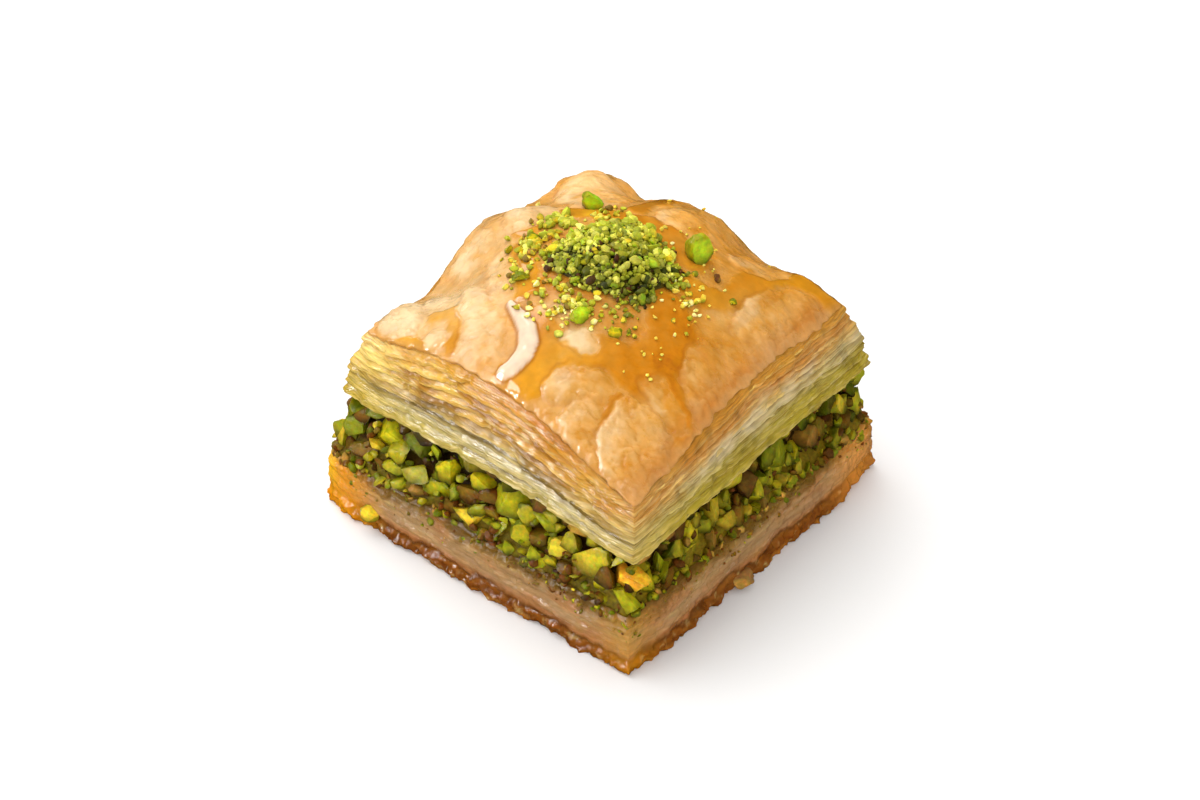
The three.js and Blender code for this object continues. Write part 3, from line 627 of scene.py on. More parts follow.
def crust_tint(u, v, at):
    """Colour and gloss of the crust from its masks."""
    mx, my = u * CRUST_SPAN, v * CRUST_SPAN
    tone = at.tone + 0.18 * spots(mx, my, 4.5, 31) + 0.10 * spots(mx, my, 1.2, 33) - 0.04
    for tu, tv, radius, change in np.array(CRUST_TONES) / 100:
        tone = tone + change * bell(np.hypot(u - tu, v - tv), 0, radius)
    tone = tone + 0.10 * at.wrinkles * at.plateau + 0.06 * at.veins + 0.07 * at.streaks + 0.16 * at.rolled
    tone = tone - 0.07 * at.leather * (1 - at.wet) + 0.24 * ease(0.1, 0.9, at.wet)
    tint = colour_ramp(tone, (-0.1, CREAM), (0.22, mix(CREAM, PEACH, 0.6)), (0.45, PEACH), (0.66, GOLD),
                       (0.92, AMBER), (1.25, RUST))
    pink = 0.18 * ease(0.15, 0.7, spots(mx, my, 3.1, 35)) + 0.25 * at.outline + 0.35 * ease(0.80, 0.98, u)
    tint = paint(tint, (PINK_CRUST, pink * (1 - at.wet)))
    for yu, yv, radius, share in np.array(YELLOW_SYRUP) / 100:
        near = bell(np.hypot(u - yu, v - yv), 0, radius)
        tint = paint(tint, (SYRUP_YELLOW, share * near * ease(0.1, 0.7, at.wet)))
    broken = 0.55 + 0.45 * spots(mx, my, 1.1, 34)
    # Painted highlight: cream on the blister ridges on the side toward the light.
    tint = paint(tint, (RIDGE_HIGHLIGHT, 0.70 * broken * ease(0.15, 0.9, at.ridge)))
    tint = tint * (1 + 0.16 * ease(0.1, 0.9, v) * ease(0.8, 0.4, u))[..., None]
    # Painted shade along the edges of standing syrup and round the run of syrup, and the run's painted
    # reflection.
    tint = paint(tint, (RUST, 0.40 * at.outline * at.wet + 0.6 * at.meniscus_shade * (1 - at.rivulet)),
                 (RIVULET_PAINTED_REFLECTION, 0.90 * at.rivulet), (mix(GOLD, CREAM, 0.3), 0.5 * bell(at.to_edge, 0, 0.7)))
    gloss = np.maximum(at.gloss + 0.35 * spots(mx, my, 2, 37), ease(0.1, 0.6, at.wet))
    return tint, np.clip(np.maximum(gloss, at.rivulet), 0.05, 1)


def crust_plan(u, v):
    return plan_place(CRUST_EDGE, PASTRY_ROUNDING, u, v)


def crust_shell():
    """The golden top: a fine grid with a ragged edge, closed from below by coarse rings."""
    shell = Shell()
    run = np.linspace(-1, 1, CRUST_STEPS + 1)
    u, v = (a.ravel() for a in np.meshgrid(run, run, indexing="ij"))
    masks = crust_relief(u, v)
    tint, gloss = crust_tint(u, v, masks)
    x, y = crust_plan(u, v)
    middle = np.maximum(np.abs(u), np.abs(v)) < 0.5
    way_x, way_y = outward(np.where(middle, 1, u), np.where(middle, 1, v))
    ragged = 0.45 * spots(x, y, 3.0, 41) + 0.16 * noise(x / 0.8, y / 0.8, 0, 42) - 0.30
    shift = ragged * np.exp(-masks.to_edge / 1.0) * ~middle
    x, y = x + way_x * shift, y + way_y * shift
    curl = 0.22 * noise(x / 2.2, y / 2.2, 0, 43) - 0.12 - 0.30 * ease(0.90, 1.0, u)
    z = crust_height(u, v) + masks.height + curl * np.exp(-masks.to_edge / 0.7)
    grid = shell.row(x, y, z, tint=tint, gloss=gloss).reshape(CRUST_STEPS + 1, CRUST_STEPS + 1)
    squares = np.stack([grid[:-1, :-1], grid[1:, :-1], grid[1:, 1:], grid[:-1, 1:]], -1)
    shell.faces.append(squares.reshape(-1, 4))

    rim_u, rim_v = square_rim(CRUST_STEPS)
    edge = grid[tuple(np.rint((rim + 1) * CRUST_STEPS / 2).astype(int) for rim in (rim_u, rim_v))]
    lip_x, lip_y = x[edge] - 0.1 * way_x[edge], y[edge] - 0.1 * way_y[edge]
    outer = shell.row(lip_x, lip_y, z[edge] - CRUST_LIP, tint=paint(tint[edge], (GOLD, 0.5)), gloss=0.4)
    shell.bands(outer, edge)

    def underside(ring):
        ring_x, ring_y = crust_plan(rim_u * ring, rim_v * ring)
        return ring_x, ring_y, crust_height(rim_u * ring, rim_v * ring) - CRUST_THICKNESS

    shell.cap(outer, underside, CRUST_RINGS, True, tint=GOLD, gloss=0.4)
    return shell, z[grid]


def crust_at(u, v):
    """A place on the finished crust."""
    x, y = crust_plan(u, v)
    fu, fv = (np.clip((c + 1) * CRUST_STEPS / 2, 0, CRUST_STEPS - 1e-6) for c in (u, v))
    i, j = fu.astype(int), fv.astype(int)
    su, sv = fu - i, fv - j
    z = ((1 - su) * (1 - sv) * CRUST_GRID[i, j] + su * (1 - sv) * CRUST_GRID[i + 1, j]
         + (1 - su) * sv * CRUST_GRID[i, j + 1] + su * sv * CRUST_GRID[i + 1, j + 1])
    return x, y, z


def crust_under(x, y):
    """The place on the crust under a plan place, found by stepping towards it."""
    u, v = x / CRUST_SPAN, y / CRUST_SPAN
    for _ in range(12):
        px, py = crust_plan(u, v)
        u, v = u + (x - px) / HALF_SIDE, v + (y - py) / HALF_SIDE
    return crust_at(u, v)


# ---------------------------------------------------------------- pastry sheets

SIDE_STEPS = 168             # places along each side
UNDER_CRUST = 0.45           # the sheets end this far below the crust's surface
STACK_LEVELS = 12.0          # the stack's height in mm, as the streaks on its side count it
SHEET_PITCH = 0.26           # height of one sheet in the soaked stack
LIP_AT = 0.13                # a ledge's lip comes at this share of its rows
STACK_RINGS = (0.92, 0.6, 0.3)
STACK_OVER_NUTS = 0.3        # the closing rings lie this far over the nuts
STACK_UNDER_CRUST = 0.9      # and this far under the crust

# Ledges of the stack: share of its height at the lip, how far the lip stands out and how deep
# the crevice under it goes (mm), rows. The fourth hangs over the groove.
LEDGES = (
    (0.00, 0.45, 0.30, 22), (0.14, 0.40, 0.45, 22), (0.27, 0.20, 0.45, 22), (0.40, 1.00, 0.90, 20),
    (0.49, 0.72, 0.40, 20), (0.585, 0.72, 0.50, 20), (0.685, 0.66, 0.55, 20), (0.785, 0.60, 0.55, 20),
    (0.885, 0.50, 0.50, 20), (1.00, None, None, None),
)
LOWER_LEDGES, UPPER_LEDGES = (0, 1, 2), (3, 4, 5, 6, 7, 8)

# How the side goes in from the lip to the next crevice, and how it rises over a ledge's rows:
# (share of the way, share of the distance).
LIP_CURVE = ((0.0, 0.0), (0.12, -0.04), (0.35, 0.03), (0.60, 0.30), (0.80, 0.68), (1.0, 1.0))
RISE_CURVE = ((0.0, 0.0), (LIP_AT, -0.05), (0.30, 0.15), (0.50, 0.42), (0.70, 0.70), (0.86, 0.88), (1.0, 1.0))

# Free sheets between the fused ones: share of the height, out of the side, droop of the edge.
FREE_SHEETS = ((0.005, 0.30, 0.30), (0.395, 0.75, 0.45), (0.53, 0.45, 0.25), (0.74, 0.40, 0.20),
               (0.93, 0.30, 0.15))
SHEET_THICKNESS = 0.16

# Rows round a free sheet: mm in from its edge, then -1 for its underside or 1 for its top.
FREE_ROWS = ((1.6, -1), (0.5, -1), (0.05, -1), (0.0, 1), (0.10, 1), (0.35, 1), (0.8, 1), (1.6, 1))

SILVER = srgb("cbb981")
YELLOW_GREEN = srgb("b09a1c")
LEAF_YELLOW = srgb("ccac2c")
PALE_BEIGE = srgb("f0d486")
WARM_BEIGE = srgb("dfae50")
SHEET_GOLD = srgb("e6ae44")
SHEET_ORANGE = srgb("d0801e")
PINK_BEIGE = srgb("c88c5a")
GREY_BEIGE = srgb("d4c096")
# Colour of the painted sheen on the sheets.
SHEET_PAINTED_SHEEN = srgb("f9e4a6")
LIGHTER_END = np.array([0.12, 0.26, 0.40])      # added to the colour of the upper sheets' left end
DEEPER_MIDDLE = np.array([0.12, 0.20, 0.42])    # and taken from it right of there


def sheet_tint(share, u, v, x, y, z):
    """Golden under the crust, pale in the middle of the stack and yellow-green at its foot."""
    front, right, back, _ = side_shares(u, v)
    level = share + 0.10 * layered(x / 6, y / 6, 1.5 * share, 50)
    tint = colour_ramp(level, (0.0, mix(SILVER, YELLOW_GREEN, 0.7)), (0.10, mix(SILVER, YELLOW_GREEN, 0.4)),
                       (0.22, SILVER), (0.40, mix(SILVER, WARM_BEIGE, 0.6)), (0.54, WARM_BEIGE),
                       (0.74, SHEET_GOLD), (0.95, mix(SHEET_GOLD, SHEET_ORANGE, 0.50)))
    right_like = colour_ramp(level, (0.0, YELLOW_GREEN), (0.30, mix(YELLOW_GREEN, SILVER, 0.2)),
                             (0.46, SILVER), (0.6, mix(SILVER, WARM_BEIGE, 0.7)),
                             (0.75, mix(PINK_BEIGE, SHEET_GOLD, 0.4)), (0.95, SHEET_GOLD))
    left_end = ease(0.40, 1.0, u * v) * (u < 0)
    near_end = ease(0.50, 1.0, -u * v) * (u > 0)
    end_colour = paint(LEAF_YELLOW, (mix(SHEET_GOLD, PALE_BEIGE, 0.70), share))
    tint = paint(tint, (right_like, right + back), (end_colour, 0.90 * left_end))
    tint = tint * (1 + 0.18 * left_end)[..., None]
    near_colour = paint(mix(LEAF_YELLOW, PALE_BEIGE, 0.4), (PALE_BEIGE, share))
    tint = paint(tint, (near_colour, 0.7 * near_end))
    upper_front = front * ease(0.40, 0.60, share)
    deeper = ease(-0.15, 0.15, u) * upper_front
    lighter = ease(0.0, -0.35, u) * upper_front
    tint = tint * (1 + lighter[..., None] * LIGHTER_END - deeper[..., None] * DEEPER_MIDDLE)
    glaze = mix(mix(YELLOW_GREEN, SILVER, 0.2), SHEET_ORANGE, ease(0.3, 0.75, share))
    return paint(tint, (glaze, 0.45 * ease(0.05, 0.6, bumps((x, y, z), 4, 1.6, 51))))


class StackSide:
    """The uneven side of the stack, worked out once for the places round it."""

    def __init__(self, u, v):
        self.u, self.v = u, v
        self.foot = plan_place(STACK_FOOT, PASTRY_ROUNDING, u, v)
        self.edge = plan_place(CRUST_EDGE, PASTRY_ROUNDING, u, v)
        self.way = outward(u, v)
        self.right = side_shares(u, v)[1]
        self.fade = 1 - 0.35 * np.abs(u * v) ** 6
        self.corner = np.abs(u * v) ** 10
        self.left_corner = ease(0.40, 1.0, u * v) * (u < 0)
        self.high = crust_height(u, v) - UNDER_CRUST
        self.height = self.high - nut_top_height(*self.foot)

    def place(self, share, out):
        """The place at a share of the stack's height, out of its plain side by some mm."""
        x = mix(self.foot[0], self.edge[0], share) + self.way[0] * out
        y = mix(self.foot[1], self.edge[1], share) + self.way[1] * out
        low = nut_top_height(x, y) + LAYER_GAP / 2 + 0.15
        wave = 0.42 * layered(x / 9, y / 9, share * 1.6, 66) + 0.10 * noise(x / 2.6, y / 2.6, share * 5, 67)
        wave = wave * np.clip(np.sin(math.pi * np.clip(share, 0, 1)), 0, 1) ** 0.5
        return x, y, mix(low, self.high, share) + wave


def lip_and_crevice(side, number):
    """How far a ledge's lip stands out, and the crevice under it goes in, all round."""
    _, lip, crevice, _ = LEDGES[number]
    x, y = side.place(0.5, 0.0)[:2]
    if lip is None:
        return np.full(x.shape, 0.1), np.full(x.shape, 0.25)
    groove = number == UPPER_LEDGES[0]
    swell = layered(x / 5.5, y / 5.5, 7.3 * number, 61)
    ragged = 0.09 * layered(x / 1.9, y / 1.9, 5.3 * number, 62)
    ragged = ragged + 0.06 * noise(x / 0.6, y / 0.6, 3.1 * number, 63)
    torn = 0.45 * ease(0.25, 0.45, layered(x / 3.5, y / 3.5, 2.7 * number, 64))
    steady, swollen = (0.75, 0.3) if groove else (0.55, 0.75)
    lip = side.fade * (lip * steady + swollen * lip * swell + ragged - torn)
    deep = 0.8 if groove else 0.35 + 0.65 * ease(-0.35, 0.35, swell)
    return lip * (1 - 0.5 * side.right), crevice * deep * side.fade * (1 - 0.55 * side.right)


def ledge_rows(shell, side, number):
    """The rows of one ledge, from the crevice under its lip to the crevice over it."""
    bottom, top, row_count = LEDGES[number][0], LEDGES[number + 1][0], LEDGES[number][3]
    lip, crevice = lip_and_crevice(side, number)
    next_lip, next_crevice = lip_and_crevice(side, number + 1)
    overhang = np.clip(next_lip + next_crevice, 0, 2)
    ledge_height = (top - bottom) * side.height
    for t in np.arange(row_count) / row_count:
        rise = along_curve(RISE_CURVE, t)
        share = bottom + (top - bottom) * rise
        if t < LIP_AT:
            out = mix(-crevice, lip, t / LIP_AT)
        else:
            out = mix(lip, -next_crevice, along_curve(LIP_CURVE, (t - LIP_AT) / (1 - LIP_AT)))
        x, y, z = side.place(share, out)
        lipped = bell(t, LIP_AT, 0.16)
        hang = 0.16 + 0.12 * layered(x / 3.6, y / 3.6, 3.9 * number, 65)
        z = z - hang * lipped * (1.6 if number == 0 else 1.0)
        line = z / SHEET_PITCH + 0.5 * layered(x / 6, y / 6, number, 68)
        line = line + 0.06 * noise(x / 1.3, y / 1.3, number, 69)
        leaf = 1 - np.abs(2 * (line % 1) - 1)
        # Painted shade under the next ledge's overhanging lip, fading out downwards.
        shade_under_lip = 1 - ease(0.7 * overhang, 0.7 * overhang + 0.45, (1 - rise) * ledge_height)
        shade_under_lip = shade_under_lip * np.clip(0.15 + 0.75 * overhang, 0, 1) * (1 - 0.5 * side.left_corner)
        at = (x, y, z)
        crisp = ease(-0.35, 0.35, bumps(at, 3.2, 1.1, 70))
        pleat = noise(x / 0.42, y / 0.42, z / 1.8, 71) * ease(0.0, 0.5, bumps(at, 3, 2, 72))
        drape = side.right * ease(-0.1, 0.4, bumps(at, 3.6, 1.6, 84))
        crumple = bumps(at, 1.1, 2.2, 82)
        out = out + 0.15 * (leaf - 0.5) * (0.25 + 0.75 * crisp) * (1 - 0.8 * drape)
        out = out + (0.045 if number in LOWER_LEDGES else 0.02) * pleat
        out = out + 0.45 * side.corner * layered(0 * x, 0 * y, z / 0.6, 86)
        out = out + 0.04 * noise(x / 0.8, y / 0.8, z / 0.35, 73)
        out = out + side.right * (0.30 * bumps(at, 4.5, 2.5, 83) + 0.10 * crumple)
        x, y, _ = side.place(share, out)
        at = (x, y, z)

        # Painted shade colour: dark lines in the gaps between the sheets, and the shade under each lip.
        dark = mix(mix(YELLOW_GREEN, RUST, 0.45) * 0.6, SHEET_ORANGE * 0.85, ease(0.35, 0.65, share))
        tint = paint(sheet_tint(share, side.u, side.v, x, y, z),
                     (dark, 0.75 * (1 - leaf) ** 2 * (0.2 + 0.8 * crisp) * (1 - 0.7 * drape)),
                     (GREY_BEIGE, 0.75 * drape * ease(0.20, 0.45, share) * ease(0.85, 0.55, share)),
                     (SHEET_ORANGE * 0.8, 0.45 * side.right * ease(0.55, 0.8, share)))
        # Painted shade: darker in the crumpled hollows of the right side, and under the next lip.
        tint = paint(tint, (tint * 0.5, 0.6 * side.right * ease(0.05, 0.6, -crumple)),
                     (dark * 0.6, 0.80 * shade_under_lip))
        # Painted shade deep in the crevice under the lip.
        if t < 0.5 * LIP_AT:
            tint = tint * 0.4
        # Painted highlights: pale lips and patches, partly the sheets' own pale colour, and short streaks of
        # painted sheen, all kept out of the painted shade.
        pale = ease(0.0, 0.5, bumps(at, 1.8, 0.4, 74)) * (1 - 0.6 * side.right)
        sheen = ease(0.22, 0.55, bumps(at, 2.0, 0.24, 81)) * (1 - 0.7 * side.right)
        tint = paint(tint, (PALE_BEIGE, (0.24 * pale + 0.30 * lipped * leaf) * (1 - shade_under_lip)),
                     (SHEET_PAINTED_SHEEN, (0.85 - 0.50 * share) * sheen * (1 - shade_under_lip)))
        gloss = 0.85 + 0.40 * bumps(at, 1.6, 0.8, 75) - 0.45 * side.right
        level = STACK_LEVELS * share + 0.25 * layered(x / 6, y / 6, 2.0 * share, 87)
        yield shell.row(x, y, z, tint=tint, gloss=np.clip(gloss, 0.05, 1), level=level)


def stack_side(side, numbers):
    """The fused, soaked sheets of some ledges as one closed solid with overhanging lips."""
    shell = Shell()
    rows = [row for number in numbers for row in ledge_rows(shell, side, number)]
    shell.bands(*rows)

    def ring_at(share):
        """Rings that follow the nuts below the stack or the crust above it."""
        def ring(size):
            u, v = side.u * size, side.v * size
            foot, edge = (plan_place(plan, PASTRY_ROUNDING, u, v) for plan in (STACK_FOOT, CRUST_EDGE))
            x, y = mix(foot[0], edge[0], share), mix(foot[1], edge[1], share)
            low, high = nut_top_height(x, y) + STACK_OVER_NUTS, crust_height(u, v) - STACK_UNDER_CRUST
            return x, y, mix(low, high, share)
        return ring

    for outer, number, from_below in ((rows[0], numbers[0], True), (rows[-1], numbers[-1] + 1, False)):
        ring = ring_at(LEDGES[number][0])
        shell.cap(outer, ring, STACK_RINGS, from_below, tint=SHEET_GOLD * 0.5, gloss=0.4)
    return shell


def free_sheets(side):
    """Thin sheets that come out between the fused ones here and there: closed strips."""
    shell = Shell()
    x, y = side.place(0.5, 0.0)[:2]
    for share, stands_out, droop in FREE_SHEETS:
        seed = 40 * share
        out = stands_out * (0.35 + 1.1 * layered(x / 5, y / 5, seed, 76))
        out = out + 0.22 * layered(x / 1.3, y / 1.3, seed, 77) + 0.08 * noise(x / 0.5, y / 0.5, seed, 78)
        out = out * side.fade
        hang = droop * (1 + 1.3 * ease(-0.2, 0.6, layered(x / 4, y / 4, seed, 79)))
        ruffle = 0.09 * noise(x / 0.9, y / 0.9, seed, 80)
        rows = []
        for inset, face in FREE_ROWS:
            rx, ry, rz = side.place(share, out - inset)
            rz = rz - hang * max(0.0, 1 - inset / 1.2) ** 2 + ruffle * max(0.0, 1 - inset)
            rz = rz + face * SHEET_THICKNESS / 2 * (0.4 + 0.6 * (1 - math.exp(-inset / 0.3)))
            tint = sheet_tint(share, side.u, side.v, rx, ry, rz)
            # Painted highlight: the sheet's edge is paler where it catches the light.
            tint = paint(tint, (PALE_BEIGE, 0.40 * math.exp(-inset / 0.25)))
            tint = tint * (1 - 0.5 * ease(0.5, 1.4, inset))
            gloss = 0.7 + 0.4 * layered(rx / 1.5, ry / 1.5, rz, 70) - 0.4 * side.right
            rows.append(shell.row(rx, ry, rz, tint=tint, gloss=np.clip(gloss, 0.05, 1)))
        shell.bands(*rows, rows[0])
    return shell


# ---------------------------------------------------------------- soaked base

BASE_STEPS = 280             # places along each side
BASE_ROWS = 38
BASE_RINGS = (0.9, 0.6, 0.3)
RIM_TOP = 0.27               # the rim at the base's foot ends at this share of its height
BASE_OUT = (                 # how far the side stands out in mm, at shares of its height
    (0.00, -0.25), (0.07, 0.12), (0.16, 0.10), (0.27, -0.22), (0.36, -0.12), (0.50, -0.05),
    (0.60, -0.25), (0.74, -0.15), (0.86, -0.40), (1.0, -0.60),
)

SOAKED_TAN = srgb("c08c3c")
SOAKED_BROWN = srgb("8c5c24")
SOAKED_PINK = srgb("bc7e4c")
SOAKED_GREY = srgb("b0906a")
RIM_AMBER = srgb("824612")
RIM_CARAMEL = srgb("ba7428")
RIM_DARK = srgb("5c2c0c")
# Colours of the painted glow, as of light shining through the syrup.
GLOW_ORANGE = srgb("f09c10")
GLOW_YELLOW = srgb("fcc424")
OLIVE_PASTE = srgb("6a540a")
BROWN_PASTE = srgb("70400e")


def base_tint(u, v, x, y, z, share):
    """Caramel at the rim, tan layers over it and the nuts' green paste on top, with a painted glow at the
    left end, the back of the right side and the near corner, and a painted shade line over the rim.
    """
    at = (x, y, z)
    _, right, _, _ = side_shares(u, v)
    wall = ease(0.25, 0.45, share)
    level = share - 0.13 * spots(x, y, 3.0, 89) + 0.09 * bumps(at, 1.5, 2, 82)
    streak = bumps(at, 7, 0.6, 81, 2)
    line = bumps(at, 9, 0.45, 99, 2)
    blotch = bumps(at, 0.9, 0.7, 85) * ease(0.4, 0.2, share)
    stuck = share + 0.22 * bumps(at, 1.1, 1.2, 86) + 0.10 * spots(x, y, 4, 87)
    # Where the painted glow shows at the left end, most at its corner.
    left_end = ease(-0.50, -0.88, u) * (1 - 0.6 * ease(0.80, 0.95, stuck)) * ease(0.0, -0.7, v)
    left_glow = ease(-0.86, -0.99, u) * ease(0.2, 0.6, share) * ease(-0.6, -0.95, v)
    near_corner = ease(0.72, 1.0, -u * v) * (u > 0)
    tint = colour_ramp(level, (0.0, RIM_CARAMEL), (0.10, RIM_AMBER), (0.22, mix(RIM_AMBER, RIM_CARAMEL, 0.4)),
                       (0.28, mix(RIM_AMBER, SOAKED_BROWN, 0.5)), (0.38, SOAKED_PINK), (0.6, SOAKED_TAN),
                       (0.86, mix(SOAKED_TAN, OLIVE_PASTE, 0.55)), (1.0, OLIVE_PASTE))
    return paint(
        tint,
        (SOAKED_BROWN, 0.45 * ease(0.0, 0.7, bumps(at, 2.2, 1.6, 83))),
        (SOAKED_GREY, 0.70 * ease(0.3, 0.5, share) * ease(0.95, 0.7, share)),
        (PALE_BEIGE, 0.25 * ease(0.15, 0.6, line) * wall),
        (SOAKED_BROWN, 0.35 * ease(0.15, 0.6, -line) * wall),
        (PALE_BEIGE, 0.5 * ease(0.25, 0.7, blotch)),
        (RIM_DARK, 0.7 * ease(0.1, 0.6, -blotch)),
        (RIM_AMBER, 0.30 * ease(0.1, 0.7, streak)),
        (PALE_BEIGE, 0.20 * ease(0.1, 0.7, -streak) * wall),
        (SOAKED_PINK, 0.6 * ease(0.0, 0.6, bumps(at, 5, 3, 84)) * ease(0.25, 0.4, share)),
        # Painted shade: a dark line in the crevice over the rim.
        (RIM_DARK, 0.6 * bell(level, RIM_TOP + 0.01, 0.03)),
        (mix(OLIVE_PASTE, BROWN_PASTE, 0.5), 0.60 * ease(0.76, 0.94, stuck)),
        # Painted glow at the left end, at the back of the right side and on the rim of the near corner.
        (GLOW_ORANGE, 0.85 * left_end),
        (GLOW_YELLOW, 0.75 * left_glow),
        (mix(GLOW_ORANGE, SOAKED_PINK, 0.50) * 1.25, 0.75 * ease(0.45, 0.90, v) * right),
        (GLOW_ORANGE * 0.8, 0.55 * near_corner * ease(0.36, 0.2, share)),
        (mix(SOAKED_TAN, GLOW_YELLOW, 0.10), 0.60 * near_corner * ease(0.2, 0.4, share)))


def soaked_base():
    """The pressed, syrup-soaked sheets of the base, as one solid with a finely layered side."""
    shell = Shell()
    u, v = square_rim(BASE_STEPS)
    x, y = plan_place(BASE_FOOT, BASE_ROUNDING, u, v)
    way_x, way_y = outward(u, v)
    top = base_top_height(x, y)
    uneven = unevenness(np.arange(len(u)) / len(u), 1)
    rim_top = RIM_TOP + 0.13 * spots(x, y, 3.0, 89)
    rows = []
    for share in np.linspace(0, 1, BASE_ROWS):
        rimlike = 1 - ease(rim_top - 0.05, rim_top + 0.04, share)
        step = along_curve(BASE_OUT, share - rim_top + RIM_TOP) + (0.18 + 0.20 * rimlike) * uneven
        lobes = layered(x / 1.5, y / 1.5, 0.8 * share, 90)
        z = share * (top - 0.35 * ease(0.2, 0.8, lobes)) if share > 0.9 else share * top
        at = (x, y, z)
        leaves = layered(x / 4.5, y / 4.5, z / 0.36 + 0.5 * noise(x / 5, y / 5, 0, 91), 92)
        step = step + 0.12 * leaves * (1 - 0.4 * rimlike) + 0.40 * rimlike * lobes
        step = step + (0.12 + 0.34 * rimlike) * bumps(at, 1.2, 0.9, 93)
        step = step + 0.04 * noise(x / 0.35, y / 0.35, z / 0.25, 94)
        step = step + 0.30 * rimlike * bumps(at, 0.55, 0.45, 97)
        step = step + 0.45 * ease(0.72, 0.9, share) * ease(0.0, 0.6, bumps(at, 0.9, 0.9, 98))
        step = step + 0.10 * ease(0.25, 0.65, noise(x / 0.6, y / 0.6, z / 0.42, 96))
        px, py = x + way_x * step, y + way_y * step
        gloss = 0.70 + 0.20 * rimlike + 0.5 * noise(x / 1.1, y / 1.1, z / 0.4, 95)
        gloss = np.clip(gloss * (1 - 0.75 * ease(0.70, 0.88, share)), 0, 1)
        rows.append(shell.row(px, py, z, tint=base_tint(u, v, px, py, z, share), gloss=gloss))
    shell.bands(*rows)

    def top_at(ring):
        rx, ry = plan_place(BASE_FOOT, BASE_ROUNDING, u * ring, v * ring)
        return rx, ry, base_top_height(rx, ry)

    def foot_at(ring):
        return *top_at(ring)[:2], np.zeros(len(u))

    shell.cap(rows[-1], top_at, BASE_RINGS, False, tint=SOAKED_BROWN, gloss=0.6)
    shell.cap(rows[0], foot_at, BASE_RINGS, True, tint=SOAKED_BROWN, gloss=0.6)
    return shell


# ---------------------------------------------------------------- nut pieces

LIME = srgb("b8aa14")
YELLOW_NUT = srgb("d8b828")
BRIGHT_GREEN = srgb("98940a")
MID_GREEN = srgb("6a7004")
DEEP_GREEN = srgb("404e04")
OLIVE_NUT = srgb("7c6410")
TAN_NUT = srgb("b28234")
ORANGE_NUT = srgb("cc8c1c")
BROWN_NUT = srgb("6e3c0c")
PURPLE_SKIN = srgb("4a200a")
PALE_NUT = srgb("dcd462")
FRESH_GREEN = srgb("94b01a")
CREAM_NUT = srgb("eee49c")

# Colours of a nut piece: where it is cut, and its own outside.
NUT_KINDS = {
    "green": (BRIGHT_GREEN, MID_GREEN),
    "lime": (LIME, MID_GREEN),
    "yellow": (YELLOW_NUT, BRIGHT_GREEN),
    "deep": (MID_GREEN, PURPLE_SKIN),
    "olive": (OLIVE_NUT, BROWN_NUT),
    "tan": (TAN_NUT, OLIVE_NUT),
    "orange": (ORANGE_NUT, YELLOW_NUT),
    "brown": (mix(BROWN_NUT, OLIVE_NUT, 0.6), mix(BROWN_NUT, PURPLE_SKIN, 0.4)),
    "pale": (PALE_NUT, YELLOW_NUT),
    "flake": (TAN_NUT, srgb("b07f45")),
    "fresh": (FRESH_GREEN, BRIGHT_GREEN),
    "cream": (CREAM_NUT, PALE_NUT),
    "ground": (srgb("b8ba2c"), srgb("9ca020")),
    "ground_light": (srgb("dcd860"), srgb("c0bc3c")),
    "ground_dark": (srgb("707810"), srgb("505808")),
}


def kernel(random, fineness, cuts, bumpy=0.22, rough=0.05):
    """A broken piece of nut: a bumpy ball with flat cuts, the first of them towards -Y.

    Gives its points, how much each lies on a cut, and its triangles.
    """
    ball = bmesh.new()
    bmesh.ops.create_icosphere(ball, subdivisions=fineness, radius=1)
    way = np.array([vert.co for vert in ball.verts])
    triangles = np.array([[vert.index for vert in face.verts] for face in ball.faces])
    ball.free()
    shift = random.uniform(0, 50, 3)
    points = way * (1 + bumpy * layered(*(way * 1.2 + shift).T, 5))[:, None]
    cut = np.zeros(len(way))
    for k in range(cuts):
        face = random.normal(size=3) if k else np.array([0.35, -1.0, 0.25]) * random.uniform(0.5, 1.5, 3)
        face /= np.linalg.norm(face)
        over = points @ face - random.uniform(0.30, 0.62)
        points = points - np.clip(over, 0, None)[:, None] * face * 0.96
        cut = np.maximum(cut, ease(0.0, 0.10, over))
    points = points * (1 + rough * layered(*(way * 3.0 + shift).T, 6))[:, None]
    return points / np.abs(points).max(0), cut, triangles


# The shapes that nut pieces are picked from: the ones that show most, smaller ones and grains.
SHAPES_RANDOM = np.random.default_rng(101)
HERO_SHAPES = [kernel(SHAPES_RANDOM, 4, 5 + k % 3, 0.40, 0.08) for k in range(24)]
SHAPES = [kernel(SHAPES_RANDOM, 3, 5 + k % 3, 0.45, 0.08) for k in range(30)]
GRAINS = [kernel(SHAPES_RANDOM, 2, 1 + k % 3, 0.5) for k in range(30)]


def rotation(turn, lean=0, way=0):
    """Turns about the upright, then leans about a level axis."""
    spin = np.array([[math.cos(turn), -math.sin(turn), 0], [math.sin(turn), math.cos(turn), 0], [0, 0, 1]])
    ax, ay, c, s = math.cos(way), math.sin(way), math.cos(lean), math.sin(lean)
    tip = np.array([[c + ax * ax * (1 - c), ax * ay * (1 - c), ay * s],
                    [ax * ay * (1 - c), c + ay * ay * (1 - c), -ax * s],
                    [-ay * s, ax * s, c]])
    return tip @ spin


def side_rotation(side, turn):
    """Turns a piece in the plane of a side and faces its -Y out of that side."""
    c, s = math.cos(turn), math.sin(turn)
    in_plane = np.array([[c, 0, -s], [0, 1, 0], [s, 0, c]])
    return rotation(side * math.pi / 2) @ in_plane


